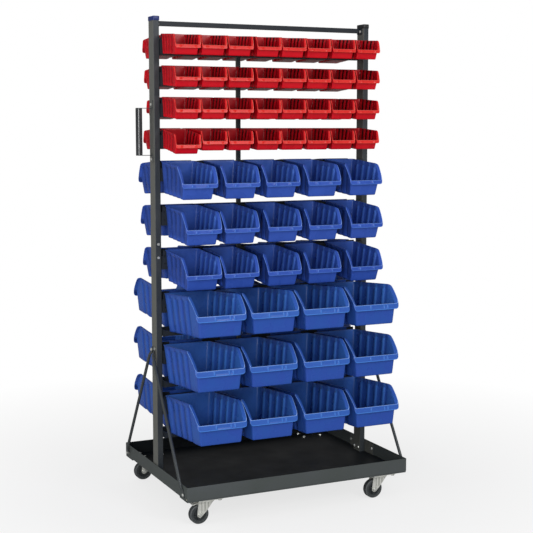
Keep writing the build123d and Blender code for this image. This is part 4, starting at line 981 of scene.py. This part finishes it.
# ---- stage ----
class CART_OT_stage(bpy.types.Operator):
    """Lay the pale floor and set the lamps, the world and the camera"""
    bl_idname = "cart.stage"
    bl_label = "Stage"

    def execute(self, context):
        look = context.scene.cart_look
        steps = np.linspace(-30, 30, 13)
        x, y = np.meshgrid(steps, steps)
        points = np.stack([x, y, 0 * x], axis=-1).reshape(-1, 3)
        cell = np.arange(12)[:, None] * 13 + np.arange(12)[None, :]
        quads = np.stack([cell, cell + 1, cell + 14, cell + 13], axis=-1).reshape(-1, 4)
        mesh = bpy.data.meshes.new("floor")
        mesh.from_pydata(points.tolist(), [], quads.tolist())
        floor = bpy.data.objects.new("floor", mesh)
        context.scene.collection.objects.link(floor)
        # The floor near the cart is a matt grey that takes its shadow; further off it fades into white
        material, tree = blank_material("pale studio floor")
        place = add_node(tree, "TexCoord")
        away = add_node(tree, "VectorMath", {"operation": "LENGTH"}, {0: (place, "Object")})
        far = add_node(tree, "MapRange", None, {"Value": (away, "Value"), "From Min": 0.8, "From Max": 2.4,
                                                "To Min": look.floor_white, "To Max": 1.0})
        light = add_node(tree, "LightPath")
        fade = add_node(tree, "Math", {"operation": "MULTIPLY"}, {0: (far, "Result"), 1: (light, "Is Camera Ray")})
        cover = add_node(tree, "BsdfPrincipled", None,
                         {"Base Color": linear("#DADADA"), "Roughness": 0.9, "Specular IOR Level": 0.1})
        white = add_node(tree, "Emission", None, {"Color": WHITE, "Strength": 1.0})
        both = add_node(tree, "MixShader", None, {0: (fade, "Value"), 1: (cover, "BSDF"), 2: (white, "Emission")})
        dull = add_node(tree, "Emission", None, {"Color": WHITE, "Strength": look.mirror_level})
        seen = add_node(tree, "MixShader", None,
                        {0: (light, "Is Glossy Ray"), 1: (both, "Shader"), 2: (dull, "Emission")})
        add_node(tree, "OutputMaterial", None, {"Surface": (seen, "Shader")})
        mesh.materials.append(material)

        # The world is white to the camera, dim as a lamp and dimmer still in the gloss
        world = bpy.data.worlds.new("studio")
        context.scene.world = world
        world.use_nodes = True
        tree = world.node_tree
        tree.nodes.clear()
        light = add_node(tree, "LightPath")
        dim, mirror, white = [
            add_node(tree, "Background", None, {"Color": WHITE, "Strength": strength})
            for strength in (look.world_level, look.mirror_level, 1.0)
        ]
        inner = add_node(tree, "MixShader", None,
                         {0: (light, "Is Glossy Ray"), 1: (dim, "Background"), 2: (mirror, "Background")})
        both = add_node(tree, "MixShader", None,
                        {0: (light, "Is Camera Ray"), 1: (inner, "Shader"), 2: (white, "Background")})
        add_node(tree, "OutputWorld", None, {"Surface": (both, "Shader")})

        for name, place, aim, size, power in (
            ("key_lamp", (0.9, -4.2, 3.0), (0, 0, 0.9), 1.4, look.key_power),
            ("fill_lamp", (-2.7, -4.6, 1.7), (0, 0, 0.9), 1.8, look.fill_power),
            ("side_lamp", (-4.2, -0.2, 2.2), (-0.3, 0, 1.0), 2.2, look.side_power),
        ):
            lamp = bpy.data.lights.new(name, "AREA")
            lamp.energy, lamp.size = power, size
            thing = bpy.data.objects.new(name, lamp)
            thing.location = place
            east, north, up = np.array(aim) - place
            thing.rotation_euler = (math.acos(-up / math.hypot(east, north, up)), 0, math.atan2(-east, north))
            # Mirrored at flat angles, the side lamp would whiten the undersides of the bins
            thing.visible_glossy = name != "side_lamp"
            context.scene.collection.objects.link(thing)

        lens = bpy.data.cameras.new("camera")
        lens.sensor_width = 36.0
        lens.lens = look.lens
        camera = bpy.data.objects.new("camera", lens)
        camera.location = (look.camera_x, look.camera_y, look.camera_z)
        camera.rotation_euler = (math.radians(90) - look.camera_pitch, 0, -look.camera_yaw)
        context.scene.collection.objects.link(camera)
        context.scene.camera = camera
        context.scene.view_settings.view_transform = "Standard"
        return {"FINISHED"}


class CartColours(bpy.types.PropertyGroup):
    """Colours of the cart's finishes, as sRGB hex codes"""
    red: StringProperty(name="Red", description="Small bins", default="#C60A1C")
    # Painted highlight colour of the small bins, mixed in on their rims and lips
    red_rim: StringProperty(name="Red rim", description="Lip and rim of the small bins", default="#E8462F")
    red_deep: StringProperty(name="Red flow", description="Darker flow marks in the red", default="#B8081A")
    blue: StringProperty(name="Blue", description="Medium bins", default="#3050A8")
    # Painted highlight and painted light colour of the medium bins, on their rims, lips and inner walls
    blue_rim: StringProperty(name="Blue rim", description="Lip and rim of the medium bins", default="#5482D4")
    blue_deep: StringProperty(name="Blue flow", description="Darker flow marks in the blue", default="#2C4A9E")
    large_blue: StringProperty(name="Large blue", description="Large bins", default="#254C9C")
    # Painted highlight and painted light colour of the large bins, on their rims, lips, inner and outer walls
    large_rim: StringProperty(name="Large rim", description="Lip and rim of the large bins", default="#4A86D8")
    large_deep: StringProperty(name="Large flow", description="Darker flow marks in the large bins",
                               default="#2A489C")
    tray: StringProperty(name="Tray", description="Powder coat of the tray", default="#464B4A")
    # Painted shade: the darker colour of the tray's inside
    tray_inside: StringProperty(name="Tray inside", description="Coat of the tray's inside", default="#14181B")
    tray_dust: StringProperty(name="Tray dust", description="Dusty places on the tray", default="#4A4E50")
    post: StringProperty(name="Post", description="Powder coat of the posts, strut, brackets and straps",
                         default="#33383D")
    post_dust: StringProperty(name="Post dust", description="Dusty places on the posts", default="#404447")
    # Painted light: the paler colour of post faces that look towards -X
    post_side: StringProperty(name="Post side", description="Rubbed outer sides of the posts",
                              default="#5C5D59")
    rail: StringProperty(name="Rails", description="Powder coat of the rails and crossbar", default="#22272E")
    rail_dust: StringProperty(name="Rail dust", description="Dusty places on the rails", default="#2B3036")
    brace: StringProperty(name="Braces", description="Powder coat of the round braces", default="#3A3E3F")
    grip: StringProperty(name="Grip", description="Stove enamel of the handle's grip", default="#2C2D2F")
    zinc: StringProperty(name="Zinc", description="Zinc plate of the casters", default="#F4F4EE")
    zinc_dull: StringProperty(name="Dull zinc", description="Dull places in the zinc", default="#D6D7D0")
    # Painted shade: the darker colour in the pressed creases of the casters
    crease: StringProperty(name="Zinc creases", description="Dark film in the pressed creases",
                           default="#96988F")
    bolt: StringProperty(name="Bolts", description="Zinc plate of the bolts", default="#D2D4D2")
    rivet: StringProperty(name="Rivet", description="Rivet at the tray's corner", default="#C8B070")
    rubber: StringProperty(name="Rubber", description="Tyres", default="#25282A")
    rubber_dust: StringProperty(name="Tyre dust", description="Dust on the tyres", default="#3E4244")
    # Rubbing and painted highlight: the grey of the tyre's lines and shoulders
    tread: StringProperty(name="Tread", description="Rubbed shoulders and lines of the tyres",
                          default="#6E7273")
    hub: StringProperty(name="Hub", description="Wheel centres", default="#33383A")
    cap_blue: StringProperty(name="Left cap", description="Cap on the left post", default="#17348A")
    cap_black: StringProperty(name="Right cap", description="Cap on the right post", default="#15171A")


class CartLook(bpy.types.PropertyGroup):
    """Sizes of the stage: camera, lamps and floor"""
    camera_x: FloatProperty(name="Camera X", description="Camera's place across the cart",
                            default=-2.0113, unit="LENGTH")
    camera_y: FloatProperty(name="Camera Y", description="Camera's place in front of the cart",
                            default=-4.3789, unit="LENGTH")
    camera_z: FloatProperty(name="Camera height", description="Height of the camera",
                            default=1.4889, unit="LENGTH")
    camera_yaw: FloatProperty(name="Camera yaw", description="Turn to the right",
                              default=math.radians(25.1), subtype="ANGLE")
    camera_pitch: FloatProperty(name="Camera pitch", description="Tilt down",
                                default=math.radians(6.7), subtype="ANGLE")
    lens: FloatProperty(name="Lens", description="Focal length in millimetres on a 36 mm sensor", default=80.66)
    key_power: FloatProperty(name="Key lamp", description="Power of the key lamp",
                             default=62.0, subtype="POWER")
    fill_power: FloatProperty(name="Fill lamp", description="Power of the lamp beside the camera",
                              default=105.0, subtype="POWER")
    side_power: FloatProperty(name="Side lamp", description="Power of the lamp at the left",
                              default=45.0, subtype="POWER")
    world_level: FloatProperty(name="World level", description="Light from all round", default=0.55)
    mirror_level: FloatProperty(name="Mirrored level", description="The studio's brightness in gloss",
                                default=0.18)
    floor_white: FloatProperty(name="Floor white", description="Share of plain white in the floor near the cart",
                               default=0.74)


class CART_PT_panel(bpy.types.Panel):
    """Lists the cart's pieces and its colours"""
    bl_idname = "CART_PT_panel"
    bl_label = "Bin cart"
    bl_space_type = "VIEW_3D"
    bl_region_type = "UI"
    bl_category = "Bin cart"

    def draw(self, context):
        for operator in STEPS:
            self.layout.operator(operator.bl_idname)
        for group in (context.scene.cart_colours, context.scene.cart_look):
            for key in group.__annotations__:
                self.layout.prop(group, key)


STEPS = (CART_OT_stage, CART_OT_bins, CART_OT_tray, CART_OT_frame, CART_OT_handle, CART_OT_braces,
         CART_OT_bolts, CART_OT_casters)
CLASSES = (CartColours, CartLook, CART_PT_panel) + STEPS


def register():
    for item in CLASSES:
        bpy.utils.register_class(item)
    bpy.types.Scene.cart_colours = PointerProperty(type=CartColours)
    bpy.types.Scene.cart_look = PointerProperty(type=CartLook)


def unregister():
    del bpy.types.Scene.cart_colours
    del bpy.types.Scene.cart_look
    for item in reversed(CLASSES):
        bpy.utils.unregister_class(item)


def main():
    register()
    for operator in STEPS:
        family, name = operator.bl_idname.split(".")
        getattr(getattr(bpy.ops, family), name)()


if __name__ == "__main__":
    main()
